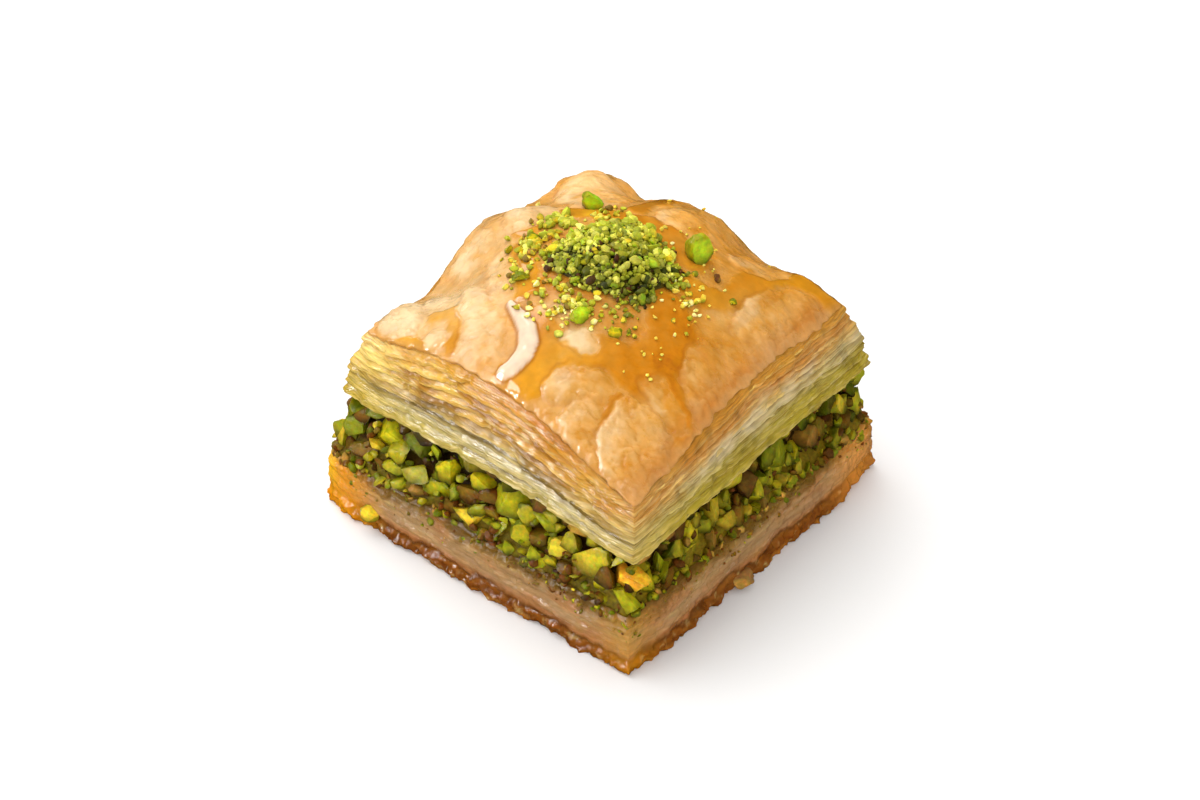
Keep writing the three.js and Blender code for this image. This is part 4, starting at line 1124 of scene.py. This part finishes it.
class Pile(Shell):
    """Nut pieces that are put together with random draws of their own."""

    def __init__(self, seed):
        super().__init__()
        self.random = np.random.default_rng(seed)
        self.draw = self.random.uniform

    def pick(self, choices):
        return choices[int(self.random.integers(len(choices)))]

    def any_turn(self, lean=0.6):
        return rotation(self.draw(0, 2 * math.pi), self.draw(-lean, lean), self.draw(0, 2 * math.pi))

    def spans(self, size, width, height):
        """The sizes of a piece: its length, and a width and height drawn as shares of it."""
        return size, size * self.draw(*width), size * self.draw(*height)

    def add_nut(self, shape, at, size, kind, gloss=0.5, turned=None, light=1.0):
        """Puts in one nut piece, its underside darkened as painted shade. light scales its colour as painted
        light or shade.
        """
        own, cut, triangles = shape
        turned = self.any_turn() if turned is None else turned
        points = (own * np.asarray(size, float) / 2) @ turned.T + np.asarray(at)
        flesh, skin = NUT_KINDS[kind]
        heart = ease(0.9, 0.2, np.hypot(own[:, 0], own[:, 2])) * cut
        flesh = flesh * self.draw(0.82, 1.12) * np.array([self.draw(0.90, 1.08), 1.0, self.draw(0.8, 1.1)])
        patch = layered(*(own * 1.5 + self.draw(0, 9)).T, 7, 4)
        tint = paint(skin, (flesh, 0.15 + 0.85 * cut - 0.7 * ease(0.0, 0.6, patch)))
        # Painted shade: each piece is darker towards its underside.
        top_light = ease(-0.42, 0.12, (points[:, 2] - at[2]) / max(size))
        shade = (0.95 + 0.42 * patch) * (1 + 0.35 * heart) * (0.24 + 0.88 * top_light)
        shade = shade * (1 - 0.35 * bell(cut, 0.35, 0.25))
        row = self.row(*points.T, tint=tint * shade[:, None] * light, gloss=gloss)
        self.faces.append(triangles + row[0])


# ---------------------------------------------------------------- pistachio filling

NUT_LAYER_LEAN = 0.7
FILLING_HEIGHT = 9.5
FILLING_CORE_INSET = 2.0
FILLING_STEPS = 96
FILLING_ROWS = 26
FILLING_RINGS = (0.7, 0.4)

# Nut pieces as they lie on the front: place along X, height, [length, height], turn in the
# plane of the side, kind.
FRONT_NUTS = (
    (-21.8, 10.9, 3.2, 3.6, 0.2, "green"), (-14.1, 13.6, 3.8, 4.9, -0.5, "lime"),
    (-9.3, 15.0, 4.0, 4.4, 0.4, "deep"), (-6.3, 15.4, 1.7, 2.8, 0.2, "green"),
    (-3.9, 14.4, 3.3, 4.3, -0.7, "lime"), (-5.2, 10.9, 4.6, 3.4, 0.7, "green"),
    (-17.6, 10.4, 3.8, 2.2, 0.3, "olive"), (1.0, 15.2, 2.8, 3.0, 0.3, "lime"),
    (-0.5, 12.8, 3.0, 2.6, 0.0, "brown"), (-0.4, 9.8, 4.4, 2.6, 0.15, "yellow"),
    (5.6, 14.4, 4.6, 4.0, 0.1, "green"), (10.2, 16.6, 3.0, 2.4, 0.2, "brown"),
    (10.7, 14.4, 3.9, 3.5, 0.5, "green"), (8.0, 10.9, 3.4, 4.7, -0.3, "lime"),
    (11.0, 8.9, 3.2, 2.6, 0.1, "lime"), (13.6, 12.1, 3.5, 3.4, -0.1, "yellow"),
    (16.3, 16.0, 3.6, 2.1, 0.1, "tan"), (18.0, 13.0, 4.9, 3.9, 0.6, "yellow"),
    (19.4, 10.2, 2.4, 2.3, 0.2, "green"), (23.2, 12.3, 4.9, 3.8, -0.1, "orange"),
    (22.6, 9.2, 5.2, 4.6, -0.2, "green"), (-18.8, 14.2, 2.6, 2.4, 0.4, "brown"),
    (-22.0, 14.6, 2.4, 2.2, 0.2, "brown"), (3.4, 11.8, 2.4, 2.0, 0.0, "olive"),
    (14.3, 16.6, 2.2, 1.8, 0.2, "olive"), (2.8, 9.0, 2.0, 1.6, 0.1, "olive"),
    (-9.8, 10.6, 2.6, 2.0, 0.3, "green"), (-12.4, 10.6, 2.6, 2.0, 0.2, "lime"),
)
# The same on the right, with the place along Y.
RIGHT_NUTS = (
    (-18.3, 12.8, 1.9, 4.0, 0.1, "green"), (-12.2, 11.8, 3.0, 6.2, -0.35, "lime"),
    (-8.4, 9.4, 2.2, 3.6, -0.1, "tan"), (-7.5, 13.2, 3.3, 4.0, 0.1, "yellow"),
    (-3.9, 14.8, 4.2, 3.9, 0.3, "yellow"), (-0.2, 11.0, 3.8, 3.3, 0.2, "lime"),
    (0.1, 15.0, 3.0, 3.6, 0.0, "olive"), (4.2, 13.5, 3.3, 4.1, -0.2, "green"),
    (2.7, 10.8, 2.7, 2.6, 0.0, "green"), (-16.2, 15.8, 3.2, 2.6, 0.3, "tan"),
    (-21.0, 14.6, 3.4, 1.4, -0.1, "tan"), (9.2, 15.4, 2.9, 2.6, 0.2, "deep"),
    (17.2, 13.2, 3.0, 3.3, 0.2, "yellow"), (21.4, 10.8, 2.8, 3.3, 0.0, "lime"),
    (-20.4, 10.4, 3.0, 3.3, 0.2, "lime"), (-16.4, 8.9, 3.2, 2.0, 0.1, "brown"),
    (-3.4, 9.8, 3.0, 2.7, 0.0, "olive"), (13.0, 15.2, 2.6, 2.2, 0.1, "brown"),
    (12.2, 12.4, 2.8, 2.7, 0.2, "olive"), (8.0, 12.0, 2.6, 2.5, 0.1, "lime"),
)
SHOWN_NUTS = (FRONT_NUTS, RIGHT_NUTS, (), ())
SHOWN_SCALE = 1.18           # their cut shapes fill less than the length and height they are given
SIDE_END = 0.975             # free nuts come this near to a side's ends
HIGHEST_NUT = 0.93           # and lie up to this share of the filling's height
CRUMB_SIZES = (0.6, 1.7)

FREE_NUTS = (                # least and most size, tries per side, lowest share of the height, depth
    (3.2, 4.6, 160, 0.22, 1.1),
    (2.3, 3.3, 320, 0.12, 1.1),
    (1.5, 2.3, 300, 0.04, 1.0),
)
CROWDING = 0.31              # nuts may lie this near, as a share of their sizes together
SHELF_NUTS = 70              # on the open shelf round the foot of the stack
CRUMBS_PER_SIDE = 200
WALL_CRUMBS_PER_SIDE = 115

SIDE_MIX = ("green", "lime", "lime", "yellow", "green", "olive", "deep", "brown", "lime", "yellow", "olive",
            "brown", "green", "yellow", "deep", "lime", "tan")
PASTE_MIX = ("olive", "lime", "green", "olive", "tan", "yellow", "olive", "lime", "deep")
WALL_MIX = ("olive", "lime", "tan", "olive", "green", "tan")


def filling_place(u, v, share, inset):
    """A place on the filling's own outline at a share of its height."""
    half = HALF_SIDE - inset
    foot = plan_place(((half, -half), (half, half), (-half, half), (-half, -half)), NUT_ROUNDING, u, v)
    top = plan_place(STACK_FOOT, NUT_ROUNDING, u, v)
    back = inset + NUT_LAYER_LEAN
    return tuple(mix(f, t - way * back, share) for f, t, way in zip(foot, top, outward(u, v)))


def filling_level(x, y, share):
    return mix(base_top_height(x, y) + LAYER_GAP / 2, nut_top_height(x, y) - LAYER_GAP / 2, share)


def on_side(side, t, share, inset):
    x, y = filling_place(*side_place(side, t), share, inset)
    return float(x), float(y), float(filling_level(x, y, share))


def beside(side, along, z, inset):
    """The place on a side at a distance along it and at a height."""
    t = along / HALF_SIDE
    for _ in range(8):
        low, high = (on_side(side, t, end, inset)[2] for end in (0, 1))
        x, y, _ = on_side(side, t, (z - low) / (high - low), inset)
        t = min(max(t + (along - (x, y)[side]) / HALF_SIDE, -1), 1)
    return x, y, z


def side_kernels():
    """The nut pieces that stand out on the two sides that are seen most."""
    pile = Pile(111)
    for side, nuts in enumerate(SHOWN_NUTS):
        for along, z, length, height, turn, kind in nuts:
            depth = 0.85 * min(length, height)
            at = beside(side, along, z, 0.45 + 0.30 * depth)
            dims = (length * SHOWN_SCALE, depth, height * SHOWN_SCALE)
            # The pieces on the right side get painted shade.
            pile.add_nut(pile.pick(HERO_SHAPES), at, dims, kind, pile.draw(0.4, 0.85),
                         side_rotation(side, turn), 1.04 - 0.33 * side)
    return pile


def side_nuts():
    """Smaller nut pieces between them, and all those on the other sides."""
    pile = Pile(112)
    for side in range(4):
        taken = [(nut[0], nut[1], 0.5 * (nut[2] + nut[3])) for nut in SHOWN_NUTS[side]]
        for least, most, tries, lowest, depth in FREE_NUTS:
            for _ in range(tries):
                size = pile.draw(least, most)
                x, y, z = on_side(side, pile.draw(-SIDE_END, SIDE_END), pile.draw(lowest, HIGHEST_NUT),
                                  depth + pile.draw(-0.4, 0.4))
                along = (x, y, -x, -y)[side]
                if any(math.hypot(along - a, z - b) < CROWDING * (size + c) for a, b, c in taken):
                    continue
                taken.append((along, z, size))
                dims = pile.spans(size, (0.7, 0.95), (0.65, 0.95))
                # Painted shade: darker on the right side and high up under the stack's lip.
                foot = on_side(side, along / HALF_SIDE, 0, 1)[2]
                light = 0.88 - 0.40 * (side == 1) - 0.45 * ease(0.70, 0.95, (z - foot) / FILLING_HEIGHT)
                pile.add_nut(pile.pick(SHAPES), (x, y, z), dims, pile.pick(SIDE_MIX), pile.draw(0.3, 0.9),
                             side_rotation(side, pile.draw(-1.2, 1.2)), light)
    for _ in range(SHELF_NUTS):
        size = pile.draw(1.6, 2.8)
        x, y, z = on_side(int(pile.random.integers(4)), pile.draw(-1, 1), 0.97, pile.draw(0.8, 2.4))
        pile.add_nut(pile.pick(SHAPES), (x, y, z - 0.45 * size), (size, size * 0.8, size * 0.75),
                     pile.pick(SIDE_MIX), 0.6)
    return pile


def side_crumbs():
    """Fine crumb between the nuts, thickest low in the filling and on the base's edge."""
    pile = Pile(121)

    def put(at, size, kinds, light):
        dims = pile.spans(size, (0.5, 0.9), (0.45, 0.9))
        pile.add_nut(pile.pick(GRAINS), at, dims, pile.pick(kinds), pile.draw(0.1, 0.5),
                     pile.any_turn(1.5), light)

    for side in range(4):
        for _ in range(CRUMBS_PER_SIDE):
            share = pile.draw(0.0, 1.0) ** 1.8
            size = pile.draw(*CRUMB_SIZES) * (1.15 - 0.5 * share)
            at = on_side(side, pile.draw(-0.99, 0.99), share * 0.95, pile.draw(0.3, 1.2) + 0.8 * share)
            # Crumbs on the right side get painted shade.
            put(at, size, PASTE_MIX, 1.06 - 0.30 * (side == 1))
        for _ in range(WALL_CRUMBS_PER_SIDE):
            u, v = side_place(side, pile.draw(-0.99, 0.99))
            x, y = plan_place(BASE_FOOT, BASE_ROUNDING, u, v)
            share = 1 - 0.45 * pile.draw(0, 1) ** 1.8
            size = pile.draw(*CRUMB_SIZES) * (2 * share - 0.9)
            out = along_curve(BASE_OUT, share) - 0.15 * size
            way_x, way_y = outward(u, v)
            at = (float(x + way_x * out), float(y + way_y * out), float(share * base_top_height(x, y)))
            put(at, size, WALL_MIX, 1.15)
    return pile


def filling_core():
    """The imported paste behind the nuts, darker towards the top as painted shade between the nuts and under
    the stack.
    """
    shell = Shell()
    u, v = square_rim(FILLING_STEPS)
    way_x, way_y = outward(u, v)
    rows = []
    for share in np.linspace(0, 1, FILLING_ROWS):
        x, y = filling_place(u, v, share, 0)
        z = filling_level(x, y, share)
        back = FILLING_CORE_INSET * ease(-0.45, 0.60, share) - 0.65 * bumps((x, y, z), 1.4, 1.2, 131)
        back = np.maximum(back, 0.35)
        at = x, y, z = x - way_x * back, y - way_y * back, z
        specks = ease(0.05, 0.7, bumps(at, 0.9, 0.8, 132))
        tint = paint(OLIVE_PASTE, (BROWN_NUT, 0.35 + 0.5 * share + 0.5 * bumps(at, 2, 1.5, 133)),
                     (LIME * 0.8, 0.30 + 0.45 * specks if share < 0.35 else 0.5 * specks))
        # Painted shade: darker towards the top.
        rows.append(shell.row(x, y, z, tint=tint * mix(0.78, 0.18, ease(0.20, 0.65, share)), gloss=0.20))
    shell.bands(*rows)

    def ring_at(share):
        def ring(size):
            x, y = filling_place(u, v, share, FILLING_CORE_INSET)
            return x * size, y * size, filling_level(x * size, y * size, share)
        return ring

    shell.cap(rows[-1], ring_at(1.0), FILLING_RINGS, False, tint=OLIVE_PASTE, gloss=0.5)
    shell.cap(rows[0], ring_at(0.0), FILLING_RINGS, True, tint=OLIVE_PASTE, gloss=0.5)
    return shell


# ---------------------------------------------------------------- topping

# Larger pistachio pieces on the crust: (u, v), [length, width, height], turn, kind.
CRUST_NUTS = (
    (0.35, 0.40, (3.3, 3.1, 4.6), 0.9, "fresh"),
    (-0.40, 0.36, (3.1, 2.4, 2.4), 0.2, "fresh"),
    (-0.28, -0.43, (2.3, 1.5, 1.4), 0.5, "green"),
    (0.18, -0.46, (2.9, 2.4, 2.3), 1.1, "fresh"),
    (0.37, -0.40, (2.0, 1.7, 1.6), 0.4, "lime"),
    (-0.45, -0.12, (1.7, 1.4, 1.2), 0.3, "lime"),
    (-0.54, -0.22, (1.5, 1.2, 1.1), 1.2, "lime"),
    (0.66, 0.32, (1.1, 0.9, 0.9), 0.0, "lime"),
)
NUT_STANDS_OUT = 0.3
HEAP_STEPS = 96
HEAP_RINGS = (0.97, 0.88, 0.78, 0.68, 0.58, 0.48, 0.38, 0.28, 0.18, 0.09)
HEAP_GRAINS = 1200
HEAP_MIX = ("ground", "ground_light", "ground_light", "ground", "ground_light", "yellow", "fresh",
            "ground_light")
# Darker kinds for grains on the heap's shaded side, as painted shade.
SHADED_HEAP_MIX = ("ground", "fresh", "green", "ground_dark", "fresh", "ground", "deep", "ground_light")
CRUMB_FIELDS = (             # loose grains on the crust: middle (u, v), spread, count, size, kinds
    (-0.43, -0.16, 0.07, 70, 1.15, ("yellow", "pale", "ground", "ground_light", "tan", "yellow")),
    (-0.33, -0.34, 0.08, 36, 1.00, ("yellow", "pale", "ground", "orange", "tan", "ground_light")),
    (-0.06, -0.46, 0.09, 60, 0.85, ("pale", "cream", "tan", "yellow", "ground")),
    (0.12, -0.36, 0.09, 50, 0.90, ("ground", "cream", "ground_light", "yellow")),
    (0.34, -0.30, 0.07, 26, 0.85, ("yellow", "lime", "lime")),
    (0.52, 0.08, 0.07, 36, 0.80, ("pale", "cream", "yellow")),
    (0.40, 0.40, 0.05, 8, 0.35, ("pale",)),
    (0.50, 0.39, 0.006, 3, 1.0, ("brown",)),
    (0.09, -0.50, 0.035, 12, 0.5, ("cream",)),
    (-0.24, 0.30, 0.08, 30, 0.85, ("ground", "ground_light", "tan", "yellow", "pale")),
    (-0.45, 0.10, 0.05, 34, 1.15, ("ground", "ground_light", "yellow")),
    (0.50, -0.30, 0.12, 14, 0.45, ("pale",)),
    (0.15, 0.55, 0.20, 10, 0.5, ("pale",)),
    (0.15, 0.0, 0.26, 70, 0.75, ("lime", "yellow", "pale", "pale", "cream")),
)


def heap_reach(angle):
    lobes = 0.08 * np.sin(2 * angle + 0.6) + 0.06 * np.sin(3 * angle + 2.0) + 0.05 * np.sin(5 * angle)
    return HEAP_RADIUS * (1 + lobes)


def heap_height(x, y):
    dx, dy = x - HEAP_CENTRE[0], y - HEAP_CENTRE[1]
    share = np.hypot(dx, dy) / heap_reach(np.arctan2(dy, dx))
    return HEAP_HEIGHT * np.clip(1 - share * share, 0, None) ** 0.75


def heap_core():
    """The mound under the loose grains, rough like packed grains and dark as painted shade in the gaps
    between them.
    """
    shell = Shell()
    angle = 2 * math.pi * np.arange(HEAP_STEPS) / HEAP_STEPS

    def ring_at(share):
        reach = 0.90 * share * heap_reach(angle)
        x, y = HEAP_CENTRE[0] + reach * np.cos(angle), HEAP_CENTRE[1] + reach * np.sin(angle)
        return x, y, crust_under(x, y)[2] - 0.8

    rows = []
    for share in HEAP_RINGS:
        x, y, z = ring_at(share)
        rough = 0.5 + 0.5 * noise(x / 0.8, y / 0.8, 0, 141)
        lift = 0.80 + 0.70 * heap_height(x, y) * (0.7 + 0.35 * rough) + 0.25 * rough * (share < 0.9)
        # Painted shade: a dark core that shows between the grains.
        tint = paint(DEEP_GREEN * 0.5, (OLIVE_NUT * 0.6, rough))
        rows.append(shell.row(x, y, z + lift, tint=tint, gloss=0.3))
    foot = shell.row(*ring_at(HEAP_RINGS[0]), tint=OLIVE_NUT, gloss=0.3)
    shell.bands(foot, *rows)
    x, y, z = (c[:1] for c in ring_at(0.0))
    shell.fan(rows[-1], shell.row(x, y, z + 0.8 + 0.75 * HEAP_HEIGHT, tint=OLIVE_NUT, gloss=0.3))
    shell.cap(foot, ring_at, (0.5,), True, tint=OLIVE_NUT, gloss=0.3)
    return shell


def ground_pistachio():
    """The loose grains of the heap."""
    pile = Pile(151)
    for k in range(HEAP_GRAINS):
        share = 1.05 * math.sqrt((k + 0.5) / HEAP_GRAINS)
        angle = math.pi * (3 - math.sqrt(5)) * k + pile.draw(-0.3, 0.3)
        lobe = noise(2.6 * math.cos(angle), 2.6 * math.sin(angle), 0, 152)
        reach = share * (1 + 0.24 * lobe * share) * heap_reach(angle)
        x = np.array([HEAP_CENTRE[0] + reach * math.cos(angle)])
        y = np.array([HEAP_CENTRE[1] + reach * math.sin(angle)])
        size = pile.draw(0.5, 1.05) if pile.random.random() < 0.90 else pile.draw(1.1, 1.8)
        clump = spots(x, y, 1.4, 153)[0]
        above = 0.80 * clump + pile.draw(-0.35, 0.75)
        lift = 0.85 * heap_height(x, y) + above * (1 - 0.6 * share)
        # Painted shade: grains on the heap's side away from the light take darker kinds and less light, and
        # low grains are darker than high ones.
        to_camera = reach * (VIEW_LEFT[0] * math.sin(angle) - VIEW_LEFT[1] * math.cos(angle))
        shaded_side = ease(-2.5, 2.5, to_camera - 1.2 * clump)
        kinds = SHADED_HEAP_MIX if pile.random.random() < 0.75 * shaded_side else HEAP_MIX
        kind = "brown" if pile.random.random() < 0.03 else pile.pick(kinds)
        dims = pile.spans(size, (0.6, 1.0), (0.6, 1.0))
        light = (0.45 + 0.72 * ease(-0.6, 0.9, above)) * (1.30 - 0.38 * shaded_side)
        at = (x[0], y[0], (crust_under(x, y)[2] + lift + 0.22 * size)[0])
        pile.add_nut(pile.pick(GRAINS), at, dims, kind, pile.draw(0.1, 0.6), pile.any_turn(3.1), light)
    return pile


def crust_pistachios():
    """The larger pieces stuck on the crust."""
    pile = Pile(161)
    for u, v, size, turn, kind in CRUST_NUTS:
        x, y, z = crust_at(np.array([u]), np.array([v]))
        cuts, bumpy, rough = (2, 0.30, 0.08) if size[2] > 4 else (3, 0.40, 0.10)
        at = (x[0], y[0], z[0] + NUT_STANDS_OUT * size[2])
        pile.add_nut(kernel(pile.random, 4, cuts, bumpy, rough), at, size, kind, 0.65, rotation(turn), 1.15)
    return pile


def loose_crumbs():
    """Single grains scattered on the crust."""
    pile = Pile(171)
    for *middle, spread, count, size, kinds in CRUMB_FIELDS:
        for _ in range(count):
            u, v = (np.array([np.clip(pile.random.normal(m, spread), -0.95, 0.95)]) for m in middle)
            x, y, z = crust_at(u, v)
            own = size * pile.draw(0.45, 1.3)
            dims = pile.spans(own, (0.6, 1.0), (0.6, 0.9))
            at = (x[0], y[0], z[0] + 0.25 * own)
            pile.add_nut(pile.pick(GRAINS), at, dims, pile.pick(kinds), 0.3, light=1.25)
    return pile


def base_scraps():
    """The flake that sticks out of the base's rim and the nut stuck on its front."""
    pile = Pile(181)
    pile.add_nut(kernel(pile.random, 4, 3), (-15.2, -25.2, 2.9), (2.6, 1.8, 2.3), "yellow", 0.4,
                 side_rotation(0, 0.4))
    pile.add_nut(kernel(pile.random, 4, 2, 0.5), (25.6, -4.2, 1.2), (2.6, 4.2, 1.5), "flake", 0.6,
                 rotation(0.2))
    return pile


# ---------------------------------------------------------------- putting it together

crust, CRUST_GRID = crust_shell()
make_piece("golden_crust", crust, CRUST_MATERIAL, "top_pastry")
stack = StackSide(*square_rim(SIDE_STEPS))
make_piece("lower_sheets", stack_side(stack, LOWER_LEDGES), SHEET_MATERIAL, "top_pastry")
make_piece("upper_sheets", stack_side(stack, UPPER_LEDGES), SHEET_MATERIAL, "top_pastry")
make_piece("free_sheets", free_sheets(stack), SHEET_MATERIAL, "top_pastry")
make_piece("crust_pistachios", crust_pistachios(), NUT_MATERIAL, "top_pastry", 40)
make_piece("loose_crumbs", loose_crumbs(), CRUMB_MATERIAL, crisp=40)
make_piece("soaked_base", soaked_base(), BASE_MATERIAL, "bottom_pastry")
make_piece("base_scraps", base_scraps(), NUT_MATERIAL, "bottom_pastry")
make_piece("filling_core", filling_core(), PASTE_MATERIAL, "pistachio_filling")
make_piece("side_kernels", side_kernels(), NUT_MATERIAL, "pistachio_filling", 35)
make_piece("chopped_pistachios", side_nuts(), NUT_MATERIAL, "pistachio_filling", 35)
make_piece("filling_crumbs", side_crumbs(), NUT_MATERIAL, "pistachio_filling", 40)
make_piece("heap_core", heap_core(), CRUMB_MATERIAL, "pistachio_topping")
make_piece("ground_pistachio", ground_pistachio(), CRUMB_MATERIAL,
           "pistachio_topping", 40)

# ---------------------------------------------------------------- floor, light and camera

FLOOR_HALF = 1.5
LIGHT_DISTANCE = 0.6
LIGHT_AIM = Vector((0, 0, 0.02))
VIEW_TURN = math.radians(39.8)
VIEW_RISE = math.radians(38.0)
VIEW_DISTANCE = 400.0
VIEW_AIM = 17.0              # height of the point that the camera was fitted on, in mm
VIEW_BELOW = 3.36            # the picture's middle lies this much lower, across the view


def make_floor():
    mesh = bpy.data.meshes.new("floor")
    h = FLOOR_HALF
    mesh.from_pydata([(-h, -h, 0), (h, -h, 0), (h, h, 0), (-h, h, 0)], [], [(0, 1, 2, 3)])
    material = bpy.data.materials.new("floor")
    material.use_nodes = True
    shader = material.node_tree.nodes["Principled BSDF"]
    shader.inputs["Base Color"].default_value = (0.95, 0.95, 0.955, 1)
    shader.inputs["Roughness"].default_value = 0.7
    shader.inputs["Specular IOR Level"].default_value = 0.1
    mesh.materials.append(material)
    floor = bpy.data.objects.new("floor", mesh)
    bpy.context.scene.collection.objects.link(floor)
    floor.visible_glossy = False


def area_light(name, direction, size, watts, colour=(1, 1, 1), gloss_only=False):
    """A square light that faces the piece from a direction. Gloss mirrors it, or it lights the
    rest: the wet surfaces mirror the small panels alone, so that the wide lights don't veil them.
    """
    data = bpy.data.lights.new(name, "AREA")
    data.shape = "SQUARE"
    data.size = size
    data.energy = watts
    data.color = colour
    light = bpy.data.objects.new(name, data)
    way = Vector(direction).normalized()
    light.location = way * LIGHT_DISTANCE + LIGHT_AIM
    light.rotation_mode = "QUATERNION"
    light.rotation_quaternion = way.to_track_quat("Z", "Y")
    light.visible_glossy = gloss_only
    light.visible_diffuse = not gloss_only
    light.visible_transmission = not gloss_only
    bpy.context.scene.collection.objects.link(light)


def make_world(strength):
    world = bpy.data.worlds.new("studio")
    world.use_nodes = True
    background = world.node_tree.nodes["Background"]
    background.inputs["Color"].default_value = (1, 1, 1, 1)
    background.inputs["Strength"].default_value = strength
    world.cycles_visibility.glossy = False
    bpy.context.scene.world = world


def make_camera():
    back = Vector((math.sin(VIEW_TURN) * math.cos(VIEW_RISE), -math.cos(VIEW_TURN) * math.cos(VIEW_RISE),
                   math.sin(VIEW_RISE)))
    up = back.cross(Vector((math.cos(VIEW_TURN), math.sin(VIEW_TURN), 0)))
    fitted = Vector((0, 0, VIEW_AIM))
    place = fitted + back * VIEW_DISTANCE
    aim = fitted - up * VIEW_BELOW
    data = bpy.data.cameras.new("camera")
    data.lens = 100
    data.sensor_width = 36
    data.clip_start, data.clip_end = 0.01, 10
    camera = bpy.data.objects.new("camera", data)
    camera.location = place * MM
    camera.rotation_mode = "QUATERNION"
    camera.rotation_quaternion = (place - aim).to_track_quat("Z", "Y")
    bpy.context.scene.collection.objects.link(camera)
    bpy.context.scene.camera = camera


make_floor()
area_light("key_light", (-0.62, 0.12, 1.0), 0.75, 4.1, (1.0, 0.985, 0.96))
area_light("front_fill", (-0.6, -1.0, 0.55), 0.50, 0.9)
area_light("right_fill", (1.0, -0.5, 0.6), 0.60, 1.4, (1.0, 0.97, 0.93))
area_light("front_panel", (-0.50, -0.48, 0.68), 0.26, 1.25, gloss_only=True)
area_light("low_panel", (-0.52, -0.84, 0.28), 0.14, 1.7, gloss_only=True)
area_light("left_panel", (-0.86, 0.30, 0.50), 0.14, 0.12, gloss_only=True)
area_light("top_panel", (-0.50, 0.08, 0.86), 0.14, 0.15, gloss_only=True)
make_world(0.54)
make_camera()
bpy.context.scene.view_settings.view_transform = "Standard"
